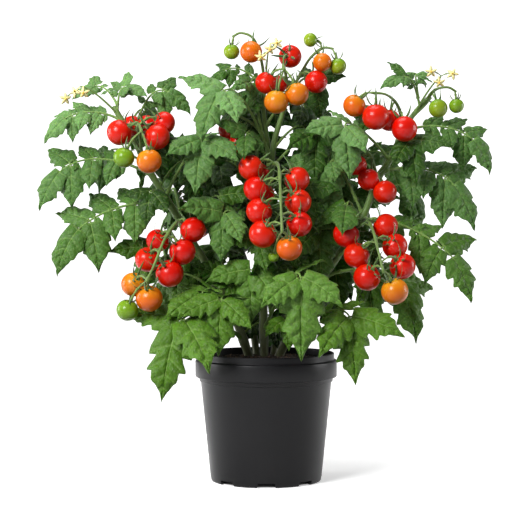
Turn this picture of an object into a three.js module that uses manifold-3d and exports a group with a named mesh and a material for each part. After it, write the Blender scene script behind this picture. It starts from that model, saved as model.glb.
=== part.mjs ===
// A cherry tomato plant in a round nursery pot. Millimetres, +Z up, origin under the middle of
// the pot's foot. -Y is the front of the plant, where its best trusses hang.
//
// The pot is a moulded shell that the potting mix fills, and five stems stand in it. Each stem
// carries its trusses of fruit, and compound leaves arch out from it. A leaf or a leaflet that
// would touch what grows there already turns to the nearest clear direction.
import * as THREE from "three";
import { mergeVertices } from "three/addons/utils/BufferGeometryUtils.js";
import Module from "manifold-3d";

const wasm = await Module();
wasm.setup();

// ---------------------------------------------------------------- driving dimensions
const POT = {
  height: 146,
  rimRadius: 80.5, // outside of the collar
  bodyRadius: 74.8, // outside, just under the collar
  footRadius: 63, // outside, at the ground
  collarBottom: 119,
  wall: 1.8,
  floor: 2.4,
  segments: 26,
  notches: 8, // drainage notches round the foot
  notchWidth: 22,
  notchHeight: 5,
};
const SOIL_LEVEL = 139;
const SEAT = 0.35; // clearance between a piece and what carries it
const STEM_FOOT = 100; // height where the stems end in the potting mix
const STEM_BEND = 131; // height where the stems start to lean, in the mix

const FINEST = 0.3; // details smaller than this are smoothed away where pieces join

const STEM_SIDES = 6;
const STALK_SIDES = 4;
const SEPALS = 5;
const PETALS = 5;
const FLOWER_RADIUS = 7.5;
const CALYX_GAP = 0.6; // how far a calyx stands off its fruit
const BLADE = 0.7; // thickness of a leaf blade
const RIB = 2; // thickness of a leaf's stalk
const LEAFLET_HALF_WIDTH = 0.31; // over the leaflet's length
const FACING = 1.1; // how far leaves turn their faces outward
const LEAFLET_SPREAD = 62; // degrees between a side leaflet and the leaf's stalk
const SIDE_DROOP = 12; // degrees that a side leaflet drops at its root
const END_DROOP = 10;
const SIDE_HANG = 24; // degrees that a side leaflet bends down from root to tip
const END_HANG = 32;
const BACK = 60; // leaves that end further back than this look outward
const LINE_STEP = 4; // spacing of the points that a line or a blade is tested at

const COLOURS = {
  pot: 0x2b2c2e,
  mix: 0x2a1d14,
  stem: 0x55752e,
  leaf: 0x3f7a2c,
  red: 0xd4170d,
  orange: 0xe8701a,
  flower: 0xf0d542,
};

// ---------------------------------------------------------------- the plant's plan
// Stems: the radius at both ends and points from the foot to the tip.
const STEMS = {
  left: {
    radii: [5.2, 2.6],
    points: [[-17, -4, STEM_FOOT], [-17, -4, STEM_BEND], [-28, -5, 166], [-43, -8, 203],
      [-62, -12, 238], [-88, -14, 280], [-105, -15, 308], [-121, -15, 334], [-136, -16, 360],
      [-150, -14, 388], [-172, -10, 424]],
  },
  centre: {
    radii: [5.4, 2.6],
    points: [[-2, -8, STEM_FOOT], [-2, -8, STEM_BEND], [-3, -6, 190], [-3, -5, 245], [0, -4, 300],
      [4, -2, 350], [9, 0, 385], [18, 0, 415], [25, 0, 440]],
  },
  right: {
    radii: [5.2, 2.6],
    points: [[11, -3, STEM_FOOT], [11, -3, STEM_BEND], [27, -4, 167], [48, -6, 204], [70, -6, 239],
      [92, -4, 272], [110, -2, 300], [125, 0, 340], [139, 0, 363], [152, 0, 390],
      [164, 0, 412], [186, 2, 436]],
  },
  back_left: {
    radii: [4.6, 2.4],
    points: [[-10, 13, STEM_FOOT], [-10, 13, STEM_BEND], [-16, 32, 174], [-30, 58, 232],
      [-50, 88, 296], [-66, 108, 345], [-76, 118, 384]],
  },
  back_right: {
    radii: [4.6, 2.4],
    points: [[7, 12, STEM_FOOT], [7, 12, STEM_BEND], [16, 31, 176], [34, 60, 238], [54, 88, 298],
      [72, 106, 345], [86, 116, 380]],
  },
};
// The second tip of the centre stem.
const FORK = {
  stem: "centre",
  radii: [3.2, 2.2],
  points: [[5, -2, 356], [1, 3, 385], [-3, 4, 420], [-2, 2, 452]],
};

// Trusses: the stem, the stalk from that stem outward, then each fruit's centre, radius and
// ripeness. A ripe fruit that touches no other of its colour is marked "lone".
const TRUSSES = {
  centre: {
    stem: "centre",
    stalk: [[5, -2, 352], [10, -24, 361], [14, -50, 354], [15, -74, 334], [16, -90, 308],
      [17, -100, 284]],
    fruits: [[-17, -47, 355, 14.3, "red"], [-11, -58, 331, 14.5, "red"],
      [-8, -67, 307, 14.5, "red"], [-4, -76, 282, 15.4, "red"],
      [-7, -36, 350, 11, "red"], [-2, -46, 326, 11, "red"],
      [34, -50, 342, 14.3, "red"], [35, -60, 317, 14.8, "red"], [36, -69, 293, 14.3, "red"],
      [25, -85, 267, 14.2, "orange"], [8, -66, 257, 6, "green"]],
  },
  lower_left: {
    stem: "left",
    stalk: [[-93, -15, 288], [-98, -36, 296], [-112, -62, 276], [-122, -76, 250],
      [-131, -84, 230]],
    fruits: [[-82, -42, 286, 14.5, "red"], [-93, -51, 262, 15, "red"],
      [-107, -58, 238, 15.5, "red"], [-121, -40, 274, 13, "red"], [-132, -47, 253, 14, "red"],
      [-147, -60, 226, 13.5, "orange"], [-129, -67, 211, 15, "orange"],
      [-153, -66, 198, 12.3, "green"]],
  },
  lower_right: {
    stem: "right",
    stalk: [[104, -2, 290], [112, -26, 299], [118, -56, 285], [123, -72, 262], [128, -82, 240]],
    fruits: [[89, -44, 281, 15, "red"], [100, -52, 258, 14.5, "red"], [111, -61, 234, 15, "red"],
      [133, -36, 290, 14.3, "red"], [143, -44, 268, 14.2, "red"], [151, -51, 246, 14.6, "red"],
      [141, -70, 219, 15, "orange"]],
  },
  upper_left: {
    stem: "left",
    stalk: [[-139, -15, 366], [-141, -34, 388], [-141, -52, 402], [-137, -62, 394]],
    fruits: [[-163, -44, 394, 14.4, "red"], [-150, -26, 402, 11.5, "red"],
      [-134, -26, 403, 11, "red"], [-121, -48, 389, 14.4, "red"], [-114, -35, 405, 12.8, "red"],
      [-157, -58, 366, 11.7, "green"], [-129, -64, 362, 13.9, "lone orange"]],
  },
  upper_right: {
    stem: "right",
    stalk: [[156, 0, 398], [148, -20, 424], [134, -38, 436], [116, -46, 438]],
    fruits: [[98, -38, 424, 12.8, "lone orange"], [121, -50, 411, 15, "red"],
      [137, -33, 408, 12.5, "red"], [153, -46, 398, 14.4, "red"]],
  },
  green_right: {
    stem: "right",
    stalk: [[180, 2, 430], [190, -8, 443], [204, -12, 446], [214, -12, 441]],
    fruits: [[193, -18, 422, 10.7, "green"], [214, -14, 425, 8.5, "green"]],
  },
  top_left: {
    stem: "centre",
    stalk: [[-2, 2, 448], [-5, -6, 474], [-14, -10, 500], [-28, -10, 507], [-38, -9, 503]],
    fruits: [[-17, -20, 485, 12.4, "lone orange"], [-39, -10, 486, 9, "green"]],
  },
  top_centre: {
    stem: "centre",
    stalk: [[25, 0, 436], [22, -10, 460], [19, -24, 470], [20, -34, 464]],
    fruits: [[27, -6, 481, 13, "lone red"], [0, -26, 450, 12.5, "red"], [13, -14, 449, 10.5, "red"],
      [11, -42, 428, 13.5, "orange"], [34, -38, 437, 13.2, "orange"]],
  },
  top_right: {
    stem: "centre",
    stalk: [[25, 0, 436], [38, 4, 460], [50, 6, 480], [64, 2, 491], [76, -2, 490]],
    fruits: [[56, -12, 452, 13, "lone red"], [63, -12, 474, 10.6, "lone orange"],
      [81, -6, 470, 9.5, "green"], [50, 0, 500, 8, "green"]],
  },
  inner_left: {
    stem: "centre",
    stalk: [[1, 3, 385], [-14, -8, 404], [-32, -16, 414]],
    fruits: [[-43, -20, 398, 11, "red"], [-31, -26, 383, 11, "red"]],
  },
  under_right: {
    stem: "right",
    stalk: [[125, 0, 340], [120, -12, 364], [112, -18, 376]],
    fruits: [[101, -16, 359, 12.5, "red"], [115, -22, 342, 12.5, "red"],
      [133, -26, 328, 13.4, "red"]],
  },
  back_left: {
    stem: "back_left",
    stalk: [[-58, 98, 320], [-62, 122, 330], [-64, 146, 314], [-64, 156, 290]],
    fruits: [[-81, 124, 311, 14.5, "red"], [-81, 133, 287, 14.5, "red"],
      [-56, 137, 297, 14.5, "red"]],
  },
  back_right: {
    stem: "back_right",
    stalk: [[60, 94, 312], [68, 118, 322], [72, 140, 306], [74, 152, 284]],
    fruits: [[57, 122, 303, 14.5, "red"], [59, 133, 279, 14.5, "red"],
      [85, 131, 289, 14.5, "red"]],
  },
};

// Sprays of open flowers: the stem and the height where the stalk leaves it, the stalk's end,
// and the flowers' centres.
const SPRAYS = {
  left: { stem: "left", height: 414, end: [-206, -30, 446],
    flowers: [[-213, -36, 440], [-224, -32, 432], [-203, -40, 438]] },
  top: { stem: "centre", height: 428, end: [2, -30, 484],
    flowers: [[12, -30, 494], [-6, -38, 478], [4, -44, 486]] },
  right: { stem: "right", height: 416, end: [196, -22, 458],
    flowers: [[193, -32, 450], [208, -30, 460], [184, -30, 462]] },
};

// Leaves: the stem and the height where the stalk leaves it, where the stalk ends, its
// direction there in plan (0 = +X, 270 = front) and its dip in degrees, the number of leaflet
// pairs and the length of the end leaflet. Leaves in one row grow from one bud.
const LEAVES = {
  left_top: ["left", 408, [[-225, -20, 411], 190, -30, 3, 38]],
  left_middle: ["left", 346, [[-230, -25, 352], 192, -40, 3, 52]],
  left_low: ["left", 312, [[-208, -34, 288], 196, -40, 3, 62]],
  left_tip: ["left", 418, [[-158, -14, 446], 340, 0, 1, 30], [[-196, 6, 448], 190, -10, 1, 30]],
  left_shoulder: ["left", 392, [[-112, -22, 442], 330, -20, 1, 40]],
  low_left: ["left", 160, [[-98, -70, 180], 222, -58, 2, 86], [[-50, -66, 206], 250, -70, 1, 60]],
  low_front: ["centre", 170, [[38, -84, 228], 272, -80, 1, 86], [[-16, -38, 238], 256, -74, 1, 60]],
  low_right: ["right", 164, [[94, -58, 184], 300, -72, 1, 70]],
  right_under: ["right", 232, [[156, -8, 220], 342, -62, 1, 66], [[118, 16, 222], 300, -70, 1, 54]],
  right_low: ["right", 296, [[208, -25, 256], 348, -45, 3, 58]],
  right_middle: ["right", 350, [[210, -15, 338], 348, -45, 3, 60]],
  right_top: ["right", 396, [[232, -15, 404], 350, -40, 3, 46]],
  right_tip: ["right", 424, [[153, -10, 458], 190, -10, 1, 30], [[172, 10, 462], 60, -10, 1, 28]],
  high_left: ["centre", 366, [[-52, -40, 437], 218, -42, 1, 60], [[-30, 12, 424], 250, -70, 1, 50]],
  middle_left: ["left", 322, [[-72, -40, 382], 236, -64, 1, 60]],
  inner_left: ["centre", 256, [[-48, -40, 300], 248, -72, 1, 62]],
  under_left: ["left", 202, [[-70, -48, 222], 258, -74, 1, 60], [[-88, 16, 250], 236, -66, 1, 58]],
  high_right: ["right", 364, [[94, -38, 410], 296, -66, 1, 58]],
  top_right_inner: ["centre", 402, [[62, -20, 440], 280, -66, 1, 46],
    [[42, 12, 424], 296, -66, 1, 48]],
  inner_right_high: ["centre", 352, [[56, -14, 388], 256, -72, 1, 54]],
  inner_right: ["right", 300, [[72, -14, 358], 262, -72, 1, 60], [[86, 24, 340], 280, -72, 1, 62]],
  centre_right: ["centre", 242, [[60, -16, 280], 286, -74, 1, 62]],
  top_left: ["centre", 446, [[-46, -5, 466], 190, -25, 2, 28], [[-18, -20, 450], 250, -45, 1, 36]],
  behind_left: ["centre", 322, [[-56, 26, 356], 250, -70, 1, 66], [[-12, 26, 420], 262, -72, 1, 52]],
  back_left_low: ["back_left", 204, [[-118, 96, 226], 150, -55, 1, 64],
    [[-76, 30, 250], 250, -60, 1, 66]],
  back_left: ["back_left", 270, [[-106, 62, 312], 236, -58, 1, 62],
    [[-34, 46, 306], 272, -60, 1, 66]],
  back_left_high: ["back_left", 350, [[-132, 116, 388], 160, -50, 1, 60],
    [[-52, 152, 402], 95, -45, 1, 56]],
  back_left_inner: ["back_left", 312, [[-26, 84, 376], 60, -50, 1, 58],
    [[-104, 74, 372], 200, -50, 1, 54]],
  back_right_low: ["back_right", 206, [[118, 100, 226], 30, -55, 1, 64],
    [[78, 30, 250], 290, -60, 1, 66]],
  back_right: ["back_right", 270, [[104, 50, 316], 296, -58, 1, 66],
    [[34, 42, 302], 268, -60, 1, 66]],
  back_right_high: ["back_right", 346, [[138, 112, 384], 20, -50, 1, 60],
    [[50, 154, 398], 90, -45, 1, 56]],
  back_right_inner: ["back_right", 304, [[26, 88, 366], 110, -50, 1, 58],
    [[112, 66, 362], 340, -50, 1, 54]],
  back_centre: ["back_left", 236, [[-6, 150, 306], 80, -50, 1, 64], [[8, 92, 268], 60, -55, 1, 60]],
};

// ---------------------------------------------------------------- solids
// A closed geometry as a solid that can be joined and cut.
function solid(geometry) {
  const bare = new THREE.BufferGeometry();
  bare.setAttribute("position", geometry.getAttribute("position"));
  bare.setIndex(geometry.getIndex());
  const merged = mergeVertices(bare, 1e-4);
  return new wasm.Manifold(
    new wasm.Mesh({
      numProp: 3,
      vertProperties: merged.getAttribute("position").array,
      triVerts: new Uint32Array(merged.getIndex().array),
    }),
  );
}

function faceted(points, triangles) {
  const geometry = new THREE.BufferGeometry();
  const numbers = points.flatMap((p) => p.toArray());
  geometry.setAttribute("position", new THREE.Float32BufferAttribute(numbers, 3));
  geometry.setIndex(triangles.flat());
  return solid(geometry);
}

const joined = (solids) => solids.reduce((whole, next) => whole.add(next));
const largest = (made) => made.decompose().reduce((a, b) => (a.volume() > b.volume() ? a : b));
const vec = (p) => new THREE.Vector3(...p);
const mix = THREE.MathUtils.lerp;
const radians = THREE.MathUtils.degToRad;

// A repeatable draw between -1 and 1 for the whole number k.
function draw(k) {
  const wave = Math.sin(k * 12.9898 + 4.1414) * 43758.5453;
  return 2 * (wave - Math.floor(wave)) - 1;
}

// The unit vector with this direction in plan and this rise, both in degrees.
function heading(azimuth, rise) {
  const a = radians(azimuth);
  const e = radians(rise);
  return new THREE.Vector3(Math.cos(a) * Math.cos(e), Math.sin(a) * Math.cos(e), Math.sin(e));
}

// The direction of a line of points at its point i.
function directionAt(points, i) {
  const [before, after] = [points[Math.max(i - 1, 0)], points[Math.min(i + 1, points.length - 1)]];
  return after.clone().sub(before).normalize();
}

// A round rod along points, tapering between two radii, with flat ends.
function rod(points, radii, sides) {
  const steps = points.length - 1;
  const geometry = new THREE.CylinderGeometry(1, 1, 1, sides, steps);
  const position = geometry.getAttribute("position");
  const across = [];
  let side = new THREE.Vector3(0, 1, 0);
  for (let i = 0; i <= steps; i++) {
    const along = directionAt(points, i);
    if (Math.abs(side.dot(along)) > 0.9) side = new THREE.Vector3(1, 0, 0);
    side = side.clone().addScaledVector(along, -side.dot(along)).normalize();
    across.push([side, side.clone().cross(along)]);
  }
  for (let v = 0; v < position.count; v++) {
    const i = Math.round((position.getY(v) + 0.5) * steps);
    const radius = mix(radii[0], radii[1], i / steps);
    const p = points[i].clone()
      .addScaledVector(across[i][0], position.getX(v) * radius)
      .addScaledVector(across[i][1], position.getZ(v) * radius);
    position.setXYZ(v, p.x, p.y, p.z);
  }
  return solid(geometry);
}

// ---------------------------------------------------------------- what grows there already
// Balls that fill every finished piece, so that the next one can be tested against them.
const taken = [];
function take(points, radius) {
  for (const p of points) taken.push([p.x, p.y, p.z, radius]);
}

function meetsPot({ x, y, z }) {
  const r = Math.hypot(x, y);
  const besideWall = r > POT.rimRadius - 9 && r < POT.rimRadius + 4 && z < POT.height + 3;
  return besideWall || (r < POT.rimRadius && z < SOIL_LEVEL + 7);
}

// Whether points keep a gap from all that is taken. Points near the root may touch.
function isClear(points, root, reach, gap) {
  for (const p of points) {
    if (p.distanceTo(root) < reach) continue;
    if (meetsPot(p)) return false;
    for (const [x, y, z, r] of taken) {
      const limit = r + gap;
      const dx = p.x - x;
      if (dx > limit || dx < -limit) continue;
      if (dx * dx + (p.y - y) ** 2 + (p.z - z) ** 2 < limit * limit) return false;
    }
  }
  return true;
}

// Evenly spaced points along a line.
function alongLine(points) {
  const found = [];
  for (let i = 1; i < points.length; i++) {
    const n = Math.ceil(points[i].distanceTo(points[i - 1]) / LINE_STEP);
    for (let j = 0; j < n; j++) found.push(points[i - 1].clone().lerp(points[i], (j + 0.5) / n));
  }
  return found;
}

// ---------------------------------------------------------------- pot and potting mix
function potSolid() {
  const { height, rimRadius, bodyRadius, footRadius, collarBottom, wall, floor } = POT;
  const profile = [
    [0, 0], [footRadius - 2.5, 0], [footRadius, 3], [bodyRadius, collarBottom - 1.5],
    [rimRadius - 0.6, collarBottom], [rimRadius, height - 8], [rimRadius - 3, height - 6],
    [rimRadius - 3, height], [rimRadius - 3 - wall, height],
    [rimRadius - wall - 2.4, collarBottom + 2], [bodyRadius - wall, collarBottom - 1],
    [footRadius - wall, floor], [0, floor],
  ].map(([r, z]) => new THREE.Vector2(r, z));
  let pot = solid(new THREE.LatheGeometry(profile, POT.segments).rotateX(Math.PI / 2));
  for (let i = 0; i < POT.notches; i++) {
    const notch = new THREE.BoxGeometry(POT.notchWidth, 14, 2 * POT.notchHeight);
    notch.translate(0, -footRadius, 0).rotateZ((i * 2 * Math.PI) / POT.notches);
    pot = pot.subtract(solid(notch));
  }
  return pot;
}

function mixSolid(stemHoles) {
  const inside = POT.wall + SEAT + 0.6;
  const taper = (POT.bodyRadius - POT.footRadius) / POT.collarBottom;
  const bottom = POT.notchHeight + 1;
  const shoulder = POT.collarBottom - 2;
  const edge = POT.rimRadius - inside - 2.4;
  const profile = [
    [0, bottom], [POT.footRadius + taper * bottom - inside, bottom],
    [POT.footRadius + taper * shoulder - inside, shoulder], [edge, POT.collarBottom + 5],
    [edge - 1, SOIL_LEVEL - 4], [edge * 0.72, SOIL_LEVEL], [edge * 0.42, SOIL_LEVEL + 1],
    [0, SOIL_LEVEL + 1],
  ].map(([r, z]) => new THREE.Vector2(r, z));
  const mound = new THREE.LatheGeometry(profile, 16).rotateX(Math.PI / 2);
  const position = mound.getAttribute("position");
  for (let v = 0; v < position.count; v++) {
    const [x, y, z] = [position.getX(v), position.getY(v), position.getZ(v)];
    const lump = 1.8 * Math.sin(x / 7.3 + 1) * Math.cos(y / 6.1) + Math.sin((x + 2 * y) / 5.7);
    if (z > SOIL_LEVEL - 1) position.setZ(v, z + lump);
  }
  return stemHoles.reduce((mound, hole) => mound.subtract(hole), solid(mound));
}

// ---------------------------------------------------------------- stems
for (const stem of [...Object.values(STEMS), FORK]) stem.line = stem.points.map(vec);

const stemRod = ({ line, radii }, extra = 0) => rod(line, radii.map((r) => r + extra), STEM_SIDES);

// The point on a stem at a height, and the stem's radius there. Above its fork, the centre
// stem's leaves grow from the second tip.
function stemAt(name, height) {
  const { line, radii } = name === "centre" && height > FORK.line[1].z ? FORK : STEMS[name];
  const last = line.length - 1;
  let i = 1;
  while (i < last && line[i].z < height) i++;
  const t = THREE.MathUtils.clamp((height - line[i - 1].z) / (line[i].z - line[i - 1].z), 0, 1);
  return {
    point: line[i - 1].clone().lerp(line[i], t),
    radius: mix(radii[0], radii[1], (i - 1 + t) / last),
  };
}

// ---------------------------------------------------------------- trusses
// A fruit's curved pedicel, which opens into a star of five sepals over the fruit's stem end.
function pedicelSolid(fruit, turn) {
  const { centre, axis, radius } = fruit;
  const line = pedicelLine(fruit);
  const rings = line.map((p, i) => {
    const along = directionAt(line, i);
    const side = new THREE.Vector3(axis.z, axis.x, axis.y);
    side.addScaledVector(along, -side.dot(along)).normalize();
    const girth = mix(1, 1.5, i / (line.length - 1));
    return [0, 1, 2].map((k) =>
      p.clone().addScaledVector(side.clone().applyAxisAngle(along, (k * 2 * Math.PI) / 3), girth));
  });
  const points = rings.flat();
  const triangles = [[0, 2, 1]];
  for (let i = 3; i < points.length; i += 3) {
    for (let k = 0; k < 3; k++) {
      const [a, b] = [i + k, i + ((k + 1) % 3)];
      triangles.push([a - 3, b - 3, b], [a - 3, b, a]);
    }
  }
  const neck = points.length - 3;
  const out = points[neck].clone().sub(line.at(-1)).normalize();
  const star = points.length;
  for (let i = 0; i < 2 * SEPALS; i++) {
    const spin = (i * Math.PI) / SEPALS;
    const ray = out.clone().applyAxisAngle(axis, -spin);
    const [polar, distance] = i % 2
      ? [2.6 / radius, radius + CALYX_GAP + 0.7]
      : [0.7 + 0.1 * draw(turn + i), (1.22 + 0.06 * draw(turn + i + 1)) * radius];
    points.push(centre.clone().addScaledVector(axis, Math.cos(polar) * distance)
      .addScaledVector(ray, Math.sin(polar) * distance));
  }
  const under = points.push(centre.clone().addScaledVector(axis, radius + CALYX_GAP)) - 1;
  for (let i = 0; i < 2 * SEPALS; i++) {
    const [a, b] = [star + i, star + ((i + 1) % (2 * SEPALS))];
    const here = neck + (Math.round((3 * i) / (2 * SEPALS)) % 3);
    const next = neck + (Math.round((3 * (i + 1)) / (2 * SEPALS)) % 3);
    triangles.push([under, a, b], [here, b, a]);
    if (here !== next) triangles.push([here, next, b]);
  }
  return faceted(points, triangles);
}

// The curved line of a pedicel from the truss's stalk to a fruit's stem end.
function pedicelLine({ from, centre, axis, radius }) {
  const end = centre.clone().addScaledVector(axis, radius + CALYX_GAP + 1.6);
  const bend = end.clone().addScaledVector(axis, 0.45 * from.distanceTo(end));
  return new THREE.QuadraticBezierCurve3(from, bend, end).getPoints(2);
}

// Where a fruit's pedicel starts on the stalk, and the way the fruit's stem end faces.
function settle([x, y, z, radius, ripeness], stalk) {
  const centre = new THREE.Vector3(x, y, z);
  const cost = (p) => p.distanceTo(centre) + Math.max(0, z + 0.3 * radius - p.z) * 0.8;
  const from = stalk.reduce((best, p) => (cost(p) < cost(best) ? p : best));
  const axis = from.clone().sub(centre).normalize();
  axis.z += 0.55;
  return { centre, radius, ripeness, from, axis: axis.normalize() };
}

function fruitBall({ centre, radius, axis }) {
  const ball = new THREE.IcosahedronGeometry(radius, 1);
  const corner = new THREE.Vector3().fromBufferAttribute(ball.getAttribute("position"), 0);
  ball.applyQuaternion(new THREE.Quaternion().setFromUnitVectors(corner.normalize(), axis));
  return solid(ball.translate(...centre.toArray()));
}

const greens = {}; // what is green on each stem
for (const [name, stem] of Object.entries(STEMS)) {
  greens[name] = [stemRod(stem)];
  take(alongLine(stem.line), stem.radii[0]);
}
greens[FORK.stem].push(stemRod(FORK));
take(alongLine(FORK.line), FORK.radii[0]);

const bunches = []; // touching fruits of one colour, one body each
let fruitCount = 0;
for (const [name, { stem, stalk, fruits }] of Object.entries(TRUSSES)) {
  const line = stalk.map(vec);
  const green = [rod(line, [2, 1.3], STALK_SIDES)];
  take(alongLine(line), 3);
  const settled = fruits.map((fruit) => settle(fruit, alongLine(line).slice(3)));
  for (const fruit of settled) {
    green.push(pedicelSolid(fruit, 10 * fruitCount++));
    take(alongLine(pedicelLine(fruit)), 2.6);
    take([fruit.centre], fruit.radius + 1.5);
    if (fruit.ripeness === "green" || fruit.ripeness.startsWith("lone")) {
      green.push(fruitBall({ ...fruit, radius: fruit.radius + 1 }));
    }
  }
  greens[stem].push(...green);
  for (const ripeness of ["red", "orange"]) {
    const ripe = settled.filter((fruit) => fruit.ripeness === ripeness);
    if (!ripe.length) continue;
    const room = joined(ripe.map((fruit) => fruitBall({ ...fruit, radius: fruit.radius + SEAT })));
    const bunch = joined(ripe.map(fruitBall)).asOriginal().simplify(FINEST);
    bunches.push({ name, ripeness, room, bodies: bunch.decompose() });
  }
}

// ---------------------------------------------------------------- flowers
// A five-petalled star that faces the front.
function flowerStar(centre, k) {
  const facing = new THREE.Vector3(0.3 * draw(k), -1, -0.2 + 0.4 * draw(k + 1)).normalize();
  const side = facing.clone().cross(new THREE.Vector3(0, 0, 1)).normalize();
  const other = side.clone().cross(facing);
  const points = [3.2, -1].map((depth) => centre.clone().addScaledVector(facing, depth));
  const triangles = [];
  for (let i = 0; i < 2 * PETALS; i++) {
    const spin = (i * Math.PI) / PETALS + draw(k + 2);
    const reach = i % 2 ? 2.2 : FLOWER_RADIUS;
    points.push(centre.clone()
      .addScaledVector(side, Math.cos(spin) * reach)
      .addScaledVector(other, Math.sin(spin) * reach)
      .addScaledVector(facing, i % 2 ? 0.6 : -0.8));
    const [a, b] = [2 + i, 2 + ((i + 1) % (2 * PETALS))];
    triangles.push([0, b, a], [1, a, b]);
  }
  return faceted(points, triangles);
}

// A spray: an arching stalk from the stem, and a short stalk from its end to each flower.
function spraySolid({ stem, height, end, flowers }, row) {
  const base = stemAt(stem, height).point;
  const far = vec(end);
  const above = base.clone().lerp(far, 0.6).add(new THREE.Vector3(0, 0, 8));
  const line = new THREE.QuadraticBezierCurve3(base, above, far).getPoints(4);
  const parts = [rod(line, [1.5, 1.2], STALK_SIDES)];
  take(alongLine(line).slice(2), 2);
  flowers.map(vec).forEach((centre, i) => {
    parts.push(rod([far, centre], [1, 1], 3), flowerStar(centre, 40 * row + 5 * i));
    take([centre], FLOWER_RADIUS + 1);
  });
  return joined(parts);
}

const sprays = Object.values(SPRAYS).map(spraySolid);

// ---------------------------------------------------------------- leaves
// One side of a leaflet's outline as [share of the length, share of the half width], and the
// points along its midrib.
const LARGE = { edge: [[0.2, 0.92], [0.36, 0.7], [0.53, 0.86], [0.69, 0.42]], ribs: [0.36, 0.66] };
const MEDIUM = { edge: [[0.26, 0.94], [0.46, 0.66], [0.62, 0.68]], ribs: [0.46] };
const SMALL = { edge: [[0.3, 0.95], [0.62, 0.55]], ribs: [0.46] };
const RIB_STEPS = 8;
const DOWN = new THREE.Vector3(0, 0, -1);

const shapeOf = (length) => (length > 62 ? LARGE : length > 30 ? MEDIUM : SMALL);

// A leaflet's frames from root to tip, as it bends towards the ground: point, along, across, up.
function leafletFrames({ root, along, up, length, hang }) {
  const axis = along.clone().cross(DOWN).normalize();
  const most = Math.max(0, along.angleTo(DOWN) - radians(6));
  const bend = Math.min(hang, most);
  const frames = [];
  const point = root.clone();
  for (let i = 0; i <= RIB_STEPS; i++) {
    const angle = (bend * i) / RIB_STEPS;
    const way = along.clone().applyAxisAngle(axis, angle);
    const top = up.clone().applyAxisAngle(axis, angle);
    frames.push({ point: point.clone(), up: top, across: way.clone().cross(top) });
    point.addScaledVector(way, length / RIB_STEPS);
  }
  return frames;
}

// A leaflet turned towards the ground about its root.
function bowed(leaflet, angle) {
  const axis = leaflet.along.clone().cross(DOWN).normalize();
  leaflet.along.applyAxisAngle(axis, angle);
  leaflet.up.applyAxisAngle(axis, angle);
  return leaflet;
}

// A point on a leaflet: s along its midrib, w across it as a share of the half width.
function onLeaflet(frames, length, s, w) {
  const i = Math.min(RIB_STEPS - 1, Math.floor(s * RIB_STEPS));
  const t = s * RIB_STEPS - i;
  const half = LEAFLET_HALF_WIDTH * length;
  const up = frames[i].up.clone().lerp(frames[i + 1].up, t).normalize();
  const across = frames[i].across.clone().lerp(frames[i + 1].across, t).normalize();
  const point = frames[i].point.clone().lerp(frames[i + 1].point, t)
    .addScaledVector(across, w * half)
    .addScaledVector(up, -0.18 * Math.abs(w) * half);
  return { point, up };
}

function leafletBalls(leaflet) {
  const frames = leafletFrames(leaflet);
  const rows = Math.max(4, Math.round(leaflet.length / LINE_STEP));
  const found = [];
  for (let i = 0; i < rows; i++) {
    const s = (i + 0.5) / rows;
    const reach = s < 0.25 ? 3.6 * s : 1.2 * (1 - s);
    const columns = Math.ceil((reach * LEAFLET_HALF_WIDTH * leaflet.length) / LINE_STEP);
    for (let j = -columns; j <= columns; j++) {
      const w = (Math.min(reach, 0.95) * j) / columns;
      found.push(onLeaflet(frames, leaflet.length, s, w).point);
    }
  }
  return found;
}

// Small turns to try, the smallest first: turn in the leaf's plane, lift out of it, size.
const TURNS = [];
for (const size of [1, 0.84, 0.7]) {
  for (const turn of [0, 12, -12, 24, -24, 36, -36, 50, -50]) {
    for (const lift of [0, 12, -12, 24, -24, 36, 48]) TURNS.push({ turn, lift, size });
  }
}
const change = ({ turn, lift, size }) => Math.hypot(turn, lift) + 70 * (1 - size);
TURNS.sort((a, b) => change(a) - change(b));

// The line of a leaf's stalk from the stem to its end, turned about the stem by a few degrees.
function stalkLine(base, [end, aim, dip], { turn, lift }) {
  const reach = vec(end).sub(base.point).applyAxisAngle(new THREE.Vector3(0, 0, 1), radians(turn));
  const level = new THREE.Vector3(reach.y, -reach.x, 0).normalize();
  reach.applyAxisAngle(level, radians(lift));
  const far = base.point.clone().add(reach);
  const size = reach.length();
  const first = base.point.clone().addScaledVector(reach, 0.28).addScaledVector(DOWN, -0.16 * size);
  const last = far.clone().addScaledVector(heading(aim + turn, dip), -0.36 * size);
  return new THREE.CubicBezierCurve3(base.point, first, last, far);
}

// The direction along a leaf's stalk, and the way the leaf's upper face looks there: up, and
// out to the front. Leaves at the back look straight out from the plant's middle.
function stalkFrame(curve, t) {
  const along = curve.getTangent(t);
  const outward = curve.v3.clone().setZ(0).normalize();
  const out = curve.v3.y > BACK ? outward : new THREE.Vector3(0, -1, 0);
  const up = out.multiplyScalar(FACING).setZ(1);
  up.addScaledVector(along, -up.dot(along)).normalize();
  return { point: curve.getPoint(t), along, up, across: along.clone().cross(up) };
}

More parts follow.
